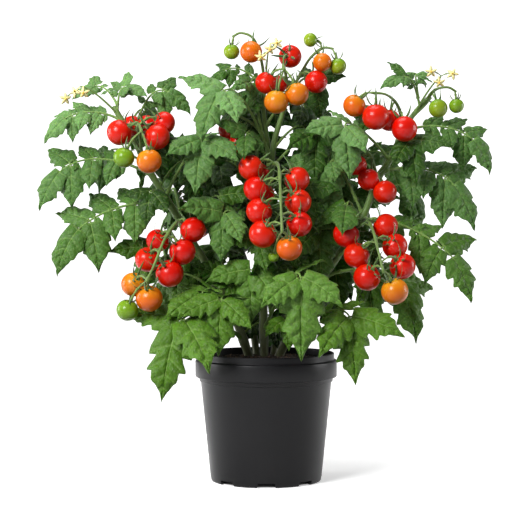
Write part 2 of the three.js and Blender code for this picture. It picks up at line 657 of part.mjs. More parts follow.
// A leaf: its stalk, its end leaflet and its pairs, each where it finds room.
function growLeaf(base, spec, index) {
  const [, , , pairs, tip] = spec;
  const turns = TURNS.filter(({ size }) => size === 1);
  const way = turns.find((turn) =>
    isClear(alongLine(stalkLine(base, spec, turn).getPoints(8)), base.point, base.radius + 11, 2));
  const curve = stalkLine(base, spec, way ?? turns[0]);
  take(alongLine(curve.getPoints(8)).slice(3), 2.4);

  const wanted = [{ t: 1, side: 0, length: tip }];
  for (let pair = 0; pair < pairs; pair++) {
    const t = pairs === 1 ? 0.92 : mix(0.88, 0.4, pair / (pairs - 1));
    for (const side of [-1, 1]) {
      const share = (pair === 0 ? 0.9 : 0.74) * (1 + 0.1 * draw(index * 20 + pair * 2 + side));
      wanted.push({ t, side, length: tip * share });
    }
  }
  const leaflets = [];
  wanted.forEach(({ t, side, length }, order) => {
    const k = index * 31 + order * 7;
    const { point, along, up, across } = stalkFrame(curve, t);
    const root = point.clone().addScaledVector(across, side * 1.2);
    const spread = radians(LEAFLET_SPREAD + 8 * draw(k + 1)) * side;
    const choices = TURNS.map(({ turn, lift, size }) => {
      const way = along.clone().applyAxisAngle(up, -spread + radians(turn));
      const sideways = way.clone().cross(up);
      way.applyAxisAngle(sideways, radians(lift));
      const top = up.clone().applyAxisAngle(sideways, radians(lift));
      const droop = radians(side ? SIDE_DROOP : END_DROOP);
      const hang = radians((side ? SIDE_HANG : END_HANG) * (1 + 0.3 * draw(k + 2)));
      return bowed({ t, side, root, along: way, up: top, length: length * size, hang }, droop);
    });
    const chosen = choices.find((choice) => isClear(leafletBalls(choice), root, 9, 3));
    if (!chosen) return;
    take(leafletBalls(chosen), 0.8);
    leaflets.push(chosen);
  });
  return { sheet: leafSheet(curve, leaflets), curve };
}

// One closed sheet: the stalk is a narrow strip, and each leaflet grows from an edge of it.
function leafSheet(curve, leaflets) {
  const points = [];
  const faces = [];
  const put = (point, up, thickness) => points.push({ point, up, half: thickness / 2 }) - 1;
  const pairs = [...new Set(leaflets.filter((l) => l.side).map((l) => l.t))].sort();
  const notch = 1.6 / curve.getLength();
  const first = pairs.length ? pairs[0] - notch : 1;
  const stops = [0, 0.5 * first, ...pairs.flatMap((t) => [t - notch, t + notch]), 1];
  const strip = stops.map((t) => {
    const { point, up, across } = stalkFrame(curve, t);
    const halfWidth = mix(1.5, 1, t);
    const thickness = mix(RIB, 1.2, t);
    return [-1, 1].map((side) =>
      put(point.clone().addScaledVector(across, side * halfWidth), up, thickness));
  });
  for (let i = 1; i < strip.length; i++) {
    const [[a, b], [c, d]] = [strip[i - 1], strip[i]];
    faces.push([a, b, d], [a, d, c]);
  }
  for (const leaflet of leaflets) {
    const near = stops.findIndex((t) => Math.abs(t - (leaflet.t - notch)) < 1e-6);
    const roots = {
      [-1]: () => [strip[near][0], strip[near + 1][0]],
      0: () => strip.at(-1),
      1: () => [strip[near + 1][1], strip[near][1]],
    }[leaflet.side]();
    growBlade(leaflet, roots, put, faces);
  }
  return thicken(points, faces);
}

// Adds a leaflet's points and faces between two root points on its leaf's stalk.
function growBlade(leaflet, [left, right], put, faces) {
  const { edge, ribs } = shapeOf(leaflet.length);
  const frames = leafletFrames(leaflet);
  const at = (s, w) => {
    const { point, up } = onLeaflet(frames, leaflet.length, s, w);
    return put(point, up, BLADE);
  };
  const rib = ribs.map((s) => at(s, 0));
  const tip = at(1, 0);
  faces.push([left, right, rib[0]]);
  for (const side of [-1, 1]) {
    const chain = [side < 0 ? left : right, ...edge.map(([s, w]) => at(s, side * w)), tip];
    const shares = [0, ...edge.map(([s]) => s), 1];
    let [i, j] = [0, 0];
    while (i < chain.length - 1) {
      const onRib = j < ribs.length - 1 && ribs[j + 1] < shares[i + 1];
      const corner = onRib ? rib[j + 1] : chain[i + 1];
      faces.push(side > 0 ? [chain[i], corner, rib[j]] : [corner, chain[i], rib[j]]);
      if (onRib) j++;
      else i++;
    }
  }
}

// The solid between two copies of a sheet, one on each side of it.
function thicken(points, faces) {
  const n = points.length;
  const lift = (way) =>
    points.map(({ point, up, half }) => point.clone().addScaledVector(up, way * half));
  const edges = new Set(faces.flatMap(([a, b, c]) => [`${a} ${b}`, `${b} ${c}`, `${c} ${a}`]));
  const walls = [...edges].map((edge) => edge.split(" ").map(Number))
    .filter(([a, b]) => !edges.has(`${b} ${a}`))
    .flatMap(([a, b]) => [[b, a, a + n], [b, a + n, b + n]]);
  const under = faces.map(([a, b, c]) => [a + n, c + n, b + n]);
  return faceted([...lift(1), ...lift(-1)], [...faces, ...under, ...walls]);
}

// ---------------------------------------------------------------- the whole plant
const group = new THREE.Group();
function add(name, made, colour, roughness) {
  const { numProp, vertProperties, triVerts } = made.getMesh();
  const position = new Float32Array((vertProperties.length / numProp) * 3);
  for (let i = 0; i < position.length / 3; i++) {
    position.set(vertProperties.subarray(i * numProp, i * numProp + 3), i * 3);
  }
  const geometry = new THREE.BufferGeometry();
  geometry.setAttribute("position", new THREE.BufferAttribute(position, 3));
  geometry.setIndex(new THREE.BufferAttribute(triVerts, 1));
  const look = { color: colour, roughness, metalness: 0, flatShading: true };
  const material = new THREE.MeshStandardMaterial(look);
  const mesh = new THREE.Mesh(geometry, material);
  mesh.name = name;
  group.add(mesh);
}

add("pot", potSolid(), COLOURS.pot, 0.45);
const stemHoles = Object.values(STEMS).map(({ line, radii }) =>
  rod([line[0].clone().setZ(STEM_FOOT - SEAT), line[1], line[2]],
    [radii[0] + 0.5, radii[0] + 0.5], STEM_SIDES));
add("potting_mix", mixSolid(stemHoles), COLOURS.mix, 0.95);
const fruitRoom = bunches.map(({ room }) => room);
for (const [name, solids] of Object.entries(greens)) {
  const green = fruitRoom.reduce((whole, room) => whole.subtract(room), joined(solids));
  add(`stem_${name}`, largest(green.asOriginal().simplify(FINEST)), COLOURS.stem, 0.6);
}
for (const { name, ripeness, bodies } of bunches) {
  bodies.forEach((body, i) => {
    add(`fruit_${name}_${ripeness}_${i + 1}`, body, COLOURS[ripeness], 0.2);
  });
}
const stemRoom = joined([...Object.values(STEMS), FORK].map((stem) => stemRod(stem, SEAT)));
Object.keys(SPRAYS).forEach((name, i) => {
  const spray = sprays[i].subtract(stemRoom).asOriginal().simplify(FINEST);
  add(`flowers_${name}`, largest(spray), COLOURS.flower, 0.5);
});
Object.entries(LEAVES).forEach(([name, [stem, height, ...leaves]], row) => {
  let base = stemAt(stem, height);
  const grown = leaves.map((spec, i) => {
    const { sheet, curve } = growLeaf(base, spec, 2 * row + i);
    base = { point: curve.getPoint(0.2), radius: 1 };
    return sheet;
  });
  add(`leaf_${name}`, largest(joined(grown).subtract(stemRoom)), COLOURS.leaf, 0.55);
});

export default group;
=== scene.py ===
"""A cherry tomato plant in a nursery pot: its looks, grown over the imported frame.

Tables and growth rules are in millimetres, and turn to metres where a mesh is made. The rules
that place stems, fruits and leaflets are the part's own, so each fine piece lies on its solid.
"""
import math

import bmesh
import bpy
import numpy as np
from mathutils import Matrix, Vector, noise


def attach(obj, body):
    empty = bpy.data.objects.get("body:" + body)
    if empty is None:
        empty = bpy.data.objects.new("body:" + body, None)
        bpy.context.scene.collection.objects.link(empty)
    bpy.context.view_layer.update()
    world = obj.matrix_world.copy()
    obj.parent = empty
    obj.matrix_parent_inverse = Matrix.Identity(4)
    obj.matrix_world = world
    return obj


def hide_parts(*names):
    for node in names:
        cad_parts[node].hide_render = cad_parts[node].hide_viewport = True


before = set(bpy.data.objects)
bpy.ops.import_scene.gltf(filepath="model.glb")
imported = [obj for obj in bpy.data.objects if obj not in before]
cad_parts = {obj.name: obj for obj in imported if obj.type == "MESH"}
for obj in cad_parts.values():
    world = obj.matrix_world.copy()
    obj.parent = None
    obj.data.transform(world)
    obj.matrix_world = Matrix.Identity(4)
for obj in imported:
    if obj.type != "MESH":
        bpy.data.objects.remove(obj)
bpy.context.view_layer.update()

MM = 0.001

# ---- the plant's plan
POT_HEIGHT = 146
POT_RIM = 80.5  # outside of the collar
POT_FOOT = 63  # outside, at the floor
NOTCHES = 8
NOTCH_WIDTH = 22
NOTCH_HEIGHT = 5
SOIL_LEVEL = 139
STEM_FOOT = 100
STEM_BEND = 131
CALYX_GAP = 0.6
HALF_WIDTH = 0.31  # of a leaflet, over its length
SAG = 0.18  # of a leaflet's sides, over its half width
FACING = 1.1  # how far leaves turn out, against up
BACK = 60  # leaves that end behind this face away from the pot, and others face the front
LINE_STEP = 4
RIB_STEPS = 8
# Room that parts take round their middle lines, and fruits and flowers beyond their size.
STALK_ROOM = 3
PEDICEL_ROOM = 2.6
SPRAY_ROOM = 2
FRUIT_MARGIN = 1.5
FLOWER_MARGIN = 1
LEAF_STALK_ROOM = 2.4
LEAFLET_ROOM = 0.8
# Pairs of leaflets: their places along a leaf's stalk, and their length over the end leaflet's.
ONLY_PAIR = 0.92
FIRST_PAIR = 0.88
LAST_PAIR = 0.4
FIRST_PAIR_SIZE = 0.9
LATER_PAIR_SIZE = 0.74
FLOWER_RADIUS = 7.5
# Leaflets in degrees: turned from the stalk, drooped, and bent along their length.
LEAFLET_SPREAD = 62
SIDE_DROOP = 12
END_DROOP = 10
SIDE_HANG = 24
END_HANG = 32

# Stems: the radius at both ends, and points from the foot to the tip.
STEMS = {
    "left": {"radii": [5.2, 2.6], "points": [[-17, -4, STEM_FOOT], [-17, -4, STEM_BEND], [-28, -5, 166],
        [-43, -8, 203], [-62, -12, 238], [-88, -14, 280], [-105, -15, 308], [-121, -15, 334],
        [-136, -16, 360], [-150, -14, 388], [-172, -10, 424]]},
    "centre": {"radii": [5.4, 2.6], "points": [[-2, -8, STEM_FOOT], [-2, -8, STEM_BEND], [-3, -6, 190],
        [-3, -5, 245], [0, -4, 300], [4, -2, 350], [9, 0, 385], [18, 0, 415], [25, 0, 440]]},
    "right": {"radii": [5.2, 2.6], "points": [[11, -3, STEM_FOOT], [11, -3, STEM_BEND], [27, -4, 167],
        [48, -6, 204], [70, -6, 239], [92, -4, 272], [110, -2, 300], [125, 0, 340], [139, 0, 363],
        [152, 0, 390], [164, 0, 412], [186, 2, 436]]},
    "back_left": {"radii": [4.6, 2.4], "points": [[-10, 13, STEM_FOOT], [-10, 13, STEM_BEND],
        [-16, 32, 174], [-30, 58, 232], [-50, 88, 296], [-66, 108, 345], [-76, 118, 384]]},
    "back_right": {"radii": [4.6, 2.4], "points": [[7, 12, STEM_FOOT], [7, 12, STEM_BEND],
        [16, 31, 176], [34, 60, 238], [54, 88, 298], [72, 106, 345], [86, 116, 380]]},
}

# The second tip of the centre stem.
FORK = {
    "stem": "centre",
    "radii": [3.2, 2.2],
    "points": [[5, -2, 356], [1, 3, 385], [-3, 4, 420], [-2, 2, 452]],
}

# Trusses: the stem, the stalk outward from it, then each fruit's centre, radius and ripeness.
TRUSSES = {
    "centre": {"stem": "centre", "stalk": [[5, -2, 352], [10, -24, 361], [14, -50, 354], [15, -74, 334],
        [16, -90, 308], [17, -100, 284]],
        "fruits": [[-17, -47, 355, 14.3, "red"], [-11, -58, 331, 14.5, "red"],
        [-8, -67, 307, 14.5, "red"], [-4, -76, 282, 15.4, "red"], [-7, -36, 350, 11, "red"],
        [-2, -46, 326, 11, "red"], [34, -50, 342, 14.3, "red"], [35, -60, 317, 14.8, "red"],
        [36, -69, 293, 14.3, "red"], [25, -85, 267, 14.2, "orange"], [8, -66, 257, 6, "green"]]},
    "lower_left": {"stem": "left", "stalk": [[-93, -15, 288], [-98, -36, 296], [-112, -62, 276],
        [-122, -76, 250], [-131, -84, 230]],
        "fruits": [[-82, -42, 286, 14.5, "red"], [-93, -51, 262, 15, "red"],
        [-107, -58, 238, 15.5, "red"], [-121, -40, 274, 13, "red"], [-132, -47, 253, 14, "red"],
        [-147, -60, 226, 13.5, "orange"], [-129, -67, 211, 15, "orange"],
        [-153, -66, 198, 12.3, "green"]]},
    "lower_right": {"stem": "right", "stalk": [[104, -2, 290], [112, -26, 299], [118, -56, 285],
        [123, -72, 262], [128, -82, 240]],
        "fruits": [[89, -44, 281, 15, "red"], [100, -52, 258, 14.5, "red"], [111, -61, 234, 15, "red"],
        [133, -36, 290, 14.3, "red"], [143, -44, 268, 14.2, "red"], [151, -51, 246, 14.6, "red"],
        [141, -70, 219, 15, "orange"]]},
    "upper_left": {"stem": "left", "stalk": [[-139, -15, 366], [-141, -34, 388], [-141, -52, 402],
        [-137, -62, 394]],
        "fruits": [[-163, -44, 394, 14.4, "red"], [-150, -26, 402, 11.5, "red"],
        [-134, -26, 403, 11, "red"], [-121, -48, 389, 14.4, "red"], [-114, -35, 405, 12.8, "red"],
        [-157, -58, 366, 11.7, "green"], [-129, -64, 362, 13.9, "lone orange"]]},
    "upper_right": {"stem": "right", "stalk": [[156, 0, 398], [148, -20, 424], [134, -38, 436],
        [116, -46, 438]],
        "fruits": [[98, -38, 424, 12.8, "lone orange"], [121, -50, 411, 15, "red"],
        [137, -33, 408, 12.5, "red"], [153, -46, 398, 14.4, "red"]]},
    "green_right": {"stem": "right", "stalk": [[180, 2, 430], [190, -8, 443], [204, -12, 446],
        [214, -12, 441]],
        "fruits": [[193, -18, 422, 10.7, "green"], [214, -14, 425, 8.5, "green"]]},
    "top_left": {"stem": "centre", "stalk": [[-2, 2, 448], [-5, -6, 474], [-14, -10, 500],
        [-28, -10, 507], [-38, -9, 503]],
        "fruits": [[-17, -20, 485, 12.4, "lone orange"], [-39, -10, 486, 9, "green"]]},
    "top_centre": {"stem": "centre", "stalk": [[25, 0, 436], [22, -10, 460], [19, -24, 470],
        [20, -34, 464]],
        "fruits": [[27, -6, 481, 13, "lone red"], [0, -26, 450, 12.5, "red"],
        [13, -14, 449, 10.5, "red"], [11, -42, 428, 13.5, "orange"], [34, -38, 437, 13.2, "orange"]]},
    "top_right": {"stem": "centre", "stalk": [[25, 0, 436], [38, 4, 460], [50, 6, 480], [64, 2, 491],
        [76, -2, 490]],
        "fruits": [[56, -12, 452, 13, "lone red"], [63, -12, 474, 10.6, "lone orange"],
        [81, -6, 470, 9.5, "green"], [50, 0, 500, 8, "green"]]},
    "inner_left": {"stem": "centre", "stalk": [[1, 3, 385], [-14, -8, 404], [-32, -16, 414]],
        "fruits": [[-43, -20, 398, 11, "red"], [-31, -26, 383, 11, "red"]]},
    "under_right": {"stem": "right", "stalk": [[125, 0, 340], [120, -12, 364], [112, -18, 376]],
        "fruits": [[101, -16, 359, 12.5, "red"], [115, -22, 342, 12.5, "red"],
        [133, -26, 328, 13.4, "red"]]},
    "back_left": {"stem": "back_left", "stalk": [[-58, 98, 320], [-62, 122, 330], [-64, 146, 314],
        [-64, 156, 290]],
        "fruits": [[-81, 124, 311, 14.5, "red"], [-81, 133, 287, 14.5, "red"],
        [-56, 137, 297, 14.5, "red"]]},
    "back_right": {"stem": "back_right", "stalk": [[60, 94, 312], [68, 118, 322], [72, 140, 306],
        [74, 152, 284]],
        "fruits": [[57, 122, 303, 14.5, "red"], [59, 133, 279, 14.5, "red"],
        [85, 131, 289, 14.5, "red"]]},
}

# Sprays of open flowers: where the stalk leaves its stem, its end, and the flowers' centres.
SPRAYS = {
    "left": {"stem": "left", "height": 414, "end": [-206, -30, 446],
        "flowers": [[-213, -36, 440], [-224, -32, 432], [-203, -40, 438]]},
    "top": {"stem": "centre", "height": 428, "end": [2, -30, 484],
        "flowers": [[12, -30, 494], [-6, -38, 478], [4, -44, 486]]},
    "right": {"stem": "right", "height": 416, "end": [196, -22, 458],
        "flowers": [[193, -32, 450], [208, -30, 460], [184, -30, 462]]},
}

# Leaves: the stem and height where the stalk leaves it, then for each leaf from that bud where
# the stalk ends, its direction in plan, its dip, its pairs of leaflets and its end leaflet's length.
LEAVES = {
    "left_top": ["left", 408, [[-225, -20, 411], 190, -30, 3, 38]],
    "left_middle": ["left", 346, [[-230, -25, 352], 192, -40, 3, 52]],
    "left_low": ["left", 312, [[-208, -34, 288], 196, -40, 3, 62]],
    "left_tip": ["left", 418, [[-158, -14, 446], 340, 0, 1, 30], [[-196, 6, 448], 190, -10, 1, 30]],
    "left_shoulder": ["left", 392, [[-112, -22, 442], 330, -20, 1, 40]],
    "low_left": ["left", 160, [[-98, -70, 180], 222, -58, 2, 86], [[-50, -66, 206], 250, -70, 1, 60]],
    "low_front": ["centre", 170, [[38, -84, 228], 272, -80, 1, 86], [[-16, -38, 238], 256, -74, 1, 60]],
    "low_right": ["right", 164, [[94, -58, 184], 300, -72, 1, 70]],
    "right_under": ["right", 232, [[156, -8, 220], 342, -62, 1, 66], [[118, 16, 222], 300, -70, 1, 54]],
    "right_low": ["right", 296, [[208, -25, 256], 348, -45, 3, 58]],
    "right_middle": ["right", 350, [[210, -15, 338], 348, -45, 3, 60]],
    "right_top": ["right", 396, [[232, -15, 404], 350, -40, 3, 46]],
    "right_tip": ["right", 424, [[153, -10, 458], 190, -10, 1, 30], [[172, 10, 462], 60, -10, 1, 28]],
    "high_left": ["centre", 366, [[-52, -40, 437], 218, -42, 1, 60], [[-30, 12, 424], 250, -70, 1, 50]],
    "middle_left": ["left", 322, [[-72, -40, 382], 236, -64, 1, 60]],
    "inner_left": ["centre", 256, [[-48, -40, 300], 248, -72, 1, 62]],
    "under_left": ["left", 202, [[-70, -48, 222], 258, -74, 1, 60], [[-88, 16, 250], 236, -66, 1, 58]],
    "high_right": ["right", 364, [[94, -38, 410], 296, -66, 1, 58]],
    "top_right_inner": ["centre", 402, [[62, -20, 440], 280, -66, 1, 46],
        [[42, 12, 424], 296, -66, 1, 48]],
    "inner_right_high": ["centre", 352, [[56, -14, 388], 256, -72, 1, 54]],
    "inner_right": ["right", 300, [[72, -14, 358], 262, -72, 1, 60], [[86, 24, 340], 280, -72, 1, 62]],
    "centre_right": ["centre", 242, [[60, -16, 280], 286, -74, 1, 62]],
    "top_left": ["centre", 446, [[-46, -5, 466], 190, -25, 2, 28], [[-18, -20, 450], 250, -45, 1, 36]],
    "behind_left": ["centre", 322, [[-56, 26, 356], 250, -70, 1, 66],
        [[-12, 26, 420], 262, -72, 1, 52]],
    "back_left_low": ["back_left", 204, [[-118, 96, 226], 150, -55, 1, 64],
        [[-76, 30, 250], 250, -60, 1, 66]],
    "back_left": ["back_left", 270, [[-106, 62, 312], 236, -58, 1, 62],
        [[-34, 46, 306], 272, -60, 1, 66]],
    "back_left_high": ["back_left", 350, [[-132, 116, 388], 160, -50, 1, 60],
        [[-52, 152, 402], 95, -45, 1, 56]],
    "back_left_inner": ["back_left", 312, [[-26, 84, 376], 60, -50, 1, 58],
        [[-104, 74, 372], 200, -50, 1, 54]],
    "back_right_low": ["back_right", 206, [[118, 100, 226], 30, -55, 1, 64],
        [[78, 30, 250], 290, -60, 1, 66]],
    "back_right": ["back_right", 270, [[104, 50, 316], 296, -58, 1, 66],
        [[34, 42, 302], 268, -60, 1, 66]],
    "back_right_high": ["back_right", 346, [[138, 112, 384], 20, -50, 1, 60],
        [[50, 154, 398], 90, -45, 1, 56]],
    "back_right_inner": ["back_right", 304, [[26, 88, 366], 110, -50, 1, 58],
        [[112, 66, 362], 340, -50, 1, 54]],
    "back_centre": ["back_left", 236, [[-6, 150, 306], 80, -50, 1, 64], [[8, 92, 268], 60, -55, 1, 60]],
}


# ---- small sums
def vec(point):
    return np.array(point, float)


def unit(v):
    return v / np.linalg.norm(v)


def mix(a, b, t):
    return a + (b - a) * t


def draw(k):
    """A repeatable draw between -1 and 1 for the whole number k."""
    wave = math.sin(k * 12.9898 + 4.1414) * 43758.5453
    return 2 * (wave - math.floor(wave)) - 1


def heading(azimuth, rise):
    a, e = math.radians(azimuth), math.radians(rise)
    return vec([math.cos(a) * math.cos(e), math.sin(a) * math.cos(e), math.sin(e)])


def spun(v, axis, angle):
    """A vector turned about a unit axis."""
    c, s = math.cos(angle), math.sin(angle)
    return v * c + np.cross(axis, v) * s + axis * (axis @ v) * (1 - c)


def angle_between(a, b):
    return math.acos(max(-1.0, min(1.0, float(a @ b) / math.sqrt((a @ a) * (b @ b)))))


def bezier(points, t):
    """The point at t of a Bezier curve with three or four control points."""
    points = list(points)
    while len(points) > 1:
        points = [mix(p, q, t) for p, q in zip(points, points[1:])]
    return points[0]


def curved(curve, n):
    """A number of points, evenly spaced in t, on a Bezier curve."""
    return np.array([bezier(curve, t) for t in np.linspace(0, 1, n)])


def along_line(points):
    """Evenly spaced points along a line."""
    found = []
    for a, b in zip(points, points[1:]):
        n = math.ceil(np.linalg.norm(b - a) / LINE_STEP)
        found += [mix(a, b, (j + 0.5) / n) for j in range(n)]
    return found


def smoothed(points, per_span):
    """A curve through points, as a list of closer points."""
    p = [2 * points[0] - points[1], *points, 2 * points[-1] - points[-2]]
    found = []
    for i in range(1, len(p) - 2):
        for j in range(per_span):
            t = j / per_span
            found.append(0.5 * (2 * p[i] + (p[i + 1] - p[i - 1]) * t
                + (2 * p[i - 1] - 5 * p[i] + 4 * p[i + 1] - p[i + 2]) * t ** 2
                + (3 * p[i] - p[i - 1] - 3 * p[i + 1] + p[i + 2]) * t ** 3))
    return np.array([*found, points[-1]])


# ---- what grows there already
taken_points = []
taken_radii = []


def take(points, radius):
    """Fills room with balls, so that what grows next can be tested against them."""
    taken_points.extend(points)
    taken_radii.extend([radius] * len(points))


def meets_pot(p):
    """Which points are in the pot's wall or the mix, or too near them."""
    r = np.hypot(p[:, 0], p[:, 1])
    beside = (r > POT_RIM - 9) & (r < POT_RIM + 4) & (p[:, 2] < POT_HEIGHT + 3)
    return beside | ((r < POT_RIM) & (p[:, 2] < SOIL_LEVEL + 7))


class Room:
    """What is taken round one root, ready for many tests."""

    def __init__(self, root, span, gap):
        points = np.array(taken_points)
        radii = np.array(taken_radii)
        near = np.linalg.norm(points - root, axis=1) < span + radii + gap
        self.root = root
        self.points = points[near]
        self.limits = (radii[near] + gap) ** 2

    def is_clear(self, points, reach):
        """Whether points keep the gap from all that is taken. Points near the root may touch."""
        points = np.array(points)
        points = points[np.linalg.norm(points - self.root, axis=1) >= reach]
        if not len(points):
            return True
        if meets_pot(points).any():
            return False
        for batch in (points[::7], points):  # a few points show most meetings
            apart = ((batch[:, None, :] - self.points[None]) ** 2).sum(2)
            if (apart < self.limits).any():
                return False
        return True


# ---- stems and trusses
for stem in [*STEMS.values(), FORK]:
    stem["line"] = [vec(p) for p in stem["points"]]


def stem_at(name, height):
    """The point on a stem at a height, and the stem's radius there."""
    forked = name == "centre" and height > FORK["line"][1][2]
    stem = FORK if forked else STEMS[name]
    line, radii = stem["line"], stem["radii"]
    last = len(line) - 1
    i = 1
    while i < last and line[i][2] < height:
        i += 1
    t = min(1, max(0, (height - line[i - 1][2]) / (line[i][2] - line[i - 1][2])))
    return mix(line[i - 1], line[i], t), mix(radii[0], radii[1], (i - 1 + t) / last)


# How a pedicel is chosen and bent: how far above the fruit it should start, what each millimetre
# less costs, how much the fruit's stem end turns up, and how far the pedicel runs straight.
PEDICEL_START = 0.3
LOW_START_COST = 0.8
FRUIT_UPTURN = 0.55
PEDICEL_BEND = 0.45
PEDICEL_STANDOFF = CALYX_GAP + 1.6


def settled(fruit, stalk):
    """Where a fruit's pedicel starts on the stalk, and the way the fruit's stem end faces."""
    *centre, radius, ripeness = fruit
    centre = vec(centre)

    def cost(p):
        missing = max(0, centre[2] + PEDICEL_START * radius - p[2])
        return np.linalg.norm(p - centre) + missing * LOW_START_COST

    start = min(stalk, key=cost)
    axis = unit(start - centre)
    axis[2] += FRUIT_UPTURN
    return {"centre": centre, "radius": radius, "ripeness": ripeness,
        "start": start, "axis": unit(axis)}


def pedicel_curve(fruit, standoff=PEDICEL_STANDOFF):
    """The control points of a pedicel, from the truss's stalk to a fruit's stem end."""
    end = fruit["centre"] + fruit["axis"] * (fruit["radius"] + standoff)
    bend = end + fruit["axis"] * PEDICEL_BEND * np.linalg.norm(fruit["start"] - end)
    return [fruit["start"], bend, end]


for stem in STEMS.values():
    take(along_line(stem["line"]), stem["radii"][0])
take(along_line(FORK["line"]), FORK["radii"][0])

fruits = []
for truss in TRUSSES.values():
    line = [vec(p) for p in truss["stalk"]]
    take(along_line(line), STALK_ROOM)
    truss["grown"] = [settled(f, along_line(line)[3:]) for f in truss["fruits"]]
    for fruit in truss["grown"]:
        curve = pedicel_curve(fruit)
        take(along_line(curved(curve, 3)), PEDICEL_ROOM)
        take([fruit["centre"]], fruit["radius"] + FRUIT_MARGIN)
        fruits.append(fruit)

for spray in SPRAYS.values():
    base = stem_at(spray["stem"], spray["height"])[0]
    far = vec(spray["end"])
    above = mix(base, far, 0.6) + vec([0, 0, 8])
    spray["curve"] = [base, above, far]
    take(along_line(curved(spray["curve"], 5))[2:], SPRAY_ROOM)
    for centre in spray["flowers"]:
        take([vec(centre)], FLOWER_RADIUS + FLOWER_MARGIN)

# ---- leaves, as they grew
DOWN = vec([0, 0, -1])
UP = vec([0, 0, 1])


def leaflet_frames(leaflet):
    """A leaflet's frames from root to tip, as it bends towards the ground: point, up, across."""
    along, up, length = leaflet["along"], leaflet["up"], leaflet["length"]
    axis = unit(np.cross(along, DOWN))
    bend = min(leaflet["hang"], max(0, angle_between(along, DOWN) - math.radians(6)))
    point = leaflet["root"].copy()
    frames = []
    for i in range(RIB_STEPS + 1):
        way = spun(along, axis, bend * i / RIB_STEPS)
        top = spun(up, axis, bend * i / RIB_STEPS)
        frames.append((point, top, np.cross(way, top)))
        point = point + way * length / RIB_STEPS
    return [np.array(column) for column in zip(*frames)]


def on_leaflet(frames, length, s, w):
    """Points on a leaflet: s along its midrib, w across it as a share of the half width."""
    s, w = np.asarray(s, float), np.asarray(w, float)
    point, up, across = frames
    i = np.minimum(RIB_STEPS - 1, np.floor(s * RIB_STEPS).astype(int))
    t = (s * RIB_STEPS - i)[..., None]
    half = HALF_WIDTH * length
    tops = mix(up[i], up[i + 1], t)
    tops /= np.linalg.norm(tops, axis=-1, keepdims=True)
    sides = mix(across[i], across[i + 1], t)
    sides /= np.linalg.norm(sides, axis=-1, keepdims=True)
    flat = mix(point[i], point[i + 1], t) + sides * (w * half)[..., None]
    return flat - tops * (SAG * np.abs(w) * half)[..., None], tops


def leaflet_balls(leaflet):
    """Points all over a leaflet, to test it with and to take its room."""
    rows = max(4, round(leaflet["length"] / LINE_STEP + 1e-9))
    s, w = [], []
    for i in range(rows):
        share = (i + 0.5) / rows
        reach = 3.6 * share if share < 0.25 else 1.2 * (1 - share)
        columns = math.ceil(reach * HALF_WIDTH * leaflet["length"] / LINE_STEP)
        for j in range(-columns, columns + 1):
            s.append(share)
            w.append(min(reach, 0.95) * j / columns)
    return on_leaflet(leaflet_frames(leaflet), leaflet["length"], s, w)[0]


def effort(way):
    """How far a way to set a leaflet is from the first choice."""
    turn, lift, size = way
    return math.hypot(turn, lift) + 70 * (1 - size)


TURNS = sorted(((turn, lift, size) for size in (1, 0.84, 0.7)
    for turn in (0, 12, -12, 24, -24, 36, -36, 50, -50)
    for lift in (0, 12, -12, 24, -24, 36, 48)), key=effort)
# A leaf's stalk over its length: how far it first goes out and up, and how straight it ends.
STALK_OUT = 0.28
STALK_RISE = 0.16
STALK_END = 0.36
LEAFLET_STAND = 1.2  # from the stalk's axis to a side leaflet's root


def stalk_curve(base, spec, turn, lift):
    """The control points of a leaf's stalk, turned about the stem by a few degrees."""
    end, aim, dip = spec[:3]
    reach = spun(vec(end) - base, UP, math.radians(turn))
    level = unit(vec([reach[1], -reach[0], 0]))
    reach = spun(reach, level, math.radians(lift))
    far = base + reach
    size = np.linalg.norm(reach)
    first = base + reach * STALK_OUT - DOWN * STALK_RISE * size
    last = far + heading(aim + turn, dip) * -STALK_END * size
    return [base, first, last, far]


def stalk_frame(curve, t):
    """Point, along, up and across at t of a leaf's stalk. Its face looks up and out."""
    along = unit(bezier(curve, min(1, t + 1e-4)) - bezier(curve, max(0, t - 1e-4)))
    outward = curve[3] * vec([1, 1, 0])
    out = unit(outward) if curve[3][1] > BACK else vec([0, -1, 0])
    up = out * FACING + UP
    up = unit(up - along * (up @ along))
    return bezier(curve, t), along, up, np.cross(along, up)


def placed_leaflet(curve, wish, k, reach, gap):
    """A leaflet at its first clear turn, or nothing where there is no room."""
    t, side, length = wish
    point, along, up, across = stalk_frame(curve, t)
    root = point + across * side * LEAFLET_STAND
    spread = math.radians(LEAFLET_SPREAD + 8 * draw(k + 1)) * side
    hang = math.radians((SIDE_HANG if side else END_HANG) * (1 + 0.3 * draw(k + 2)))
    room = Room(root, 1.6 * length, gap)
    for turn, lift, size in TURNS:
        way = spun(along, up, -spread + math.radians(turn))
        sideways = np.cross(way, up)
        leaflet = {"root": root, "length": length * size, "hang": hang,
            "along": spun(way, sideways, math.radians(lift)),
            "up": spun(up, sideways, math.radians(lift))}
        axis = unit(np.cross(leaflet["along"], DOWN))
        droop = math.radians(SIDE_DROOP if side else END_DROOP)
        leaflet["along"] = spun(leaflet["along"], axis, droop)
        leaflet["up"] = spun(leaflet["up"], axis, droop)
        balls = leaflet_balls(leaflet)
        if room.is_clear(balls, reach):
            take(list(balls), LEAFLET_ROOM)
            return leaflet
    return None


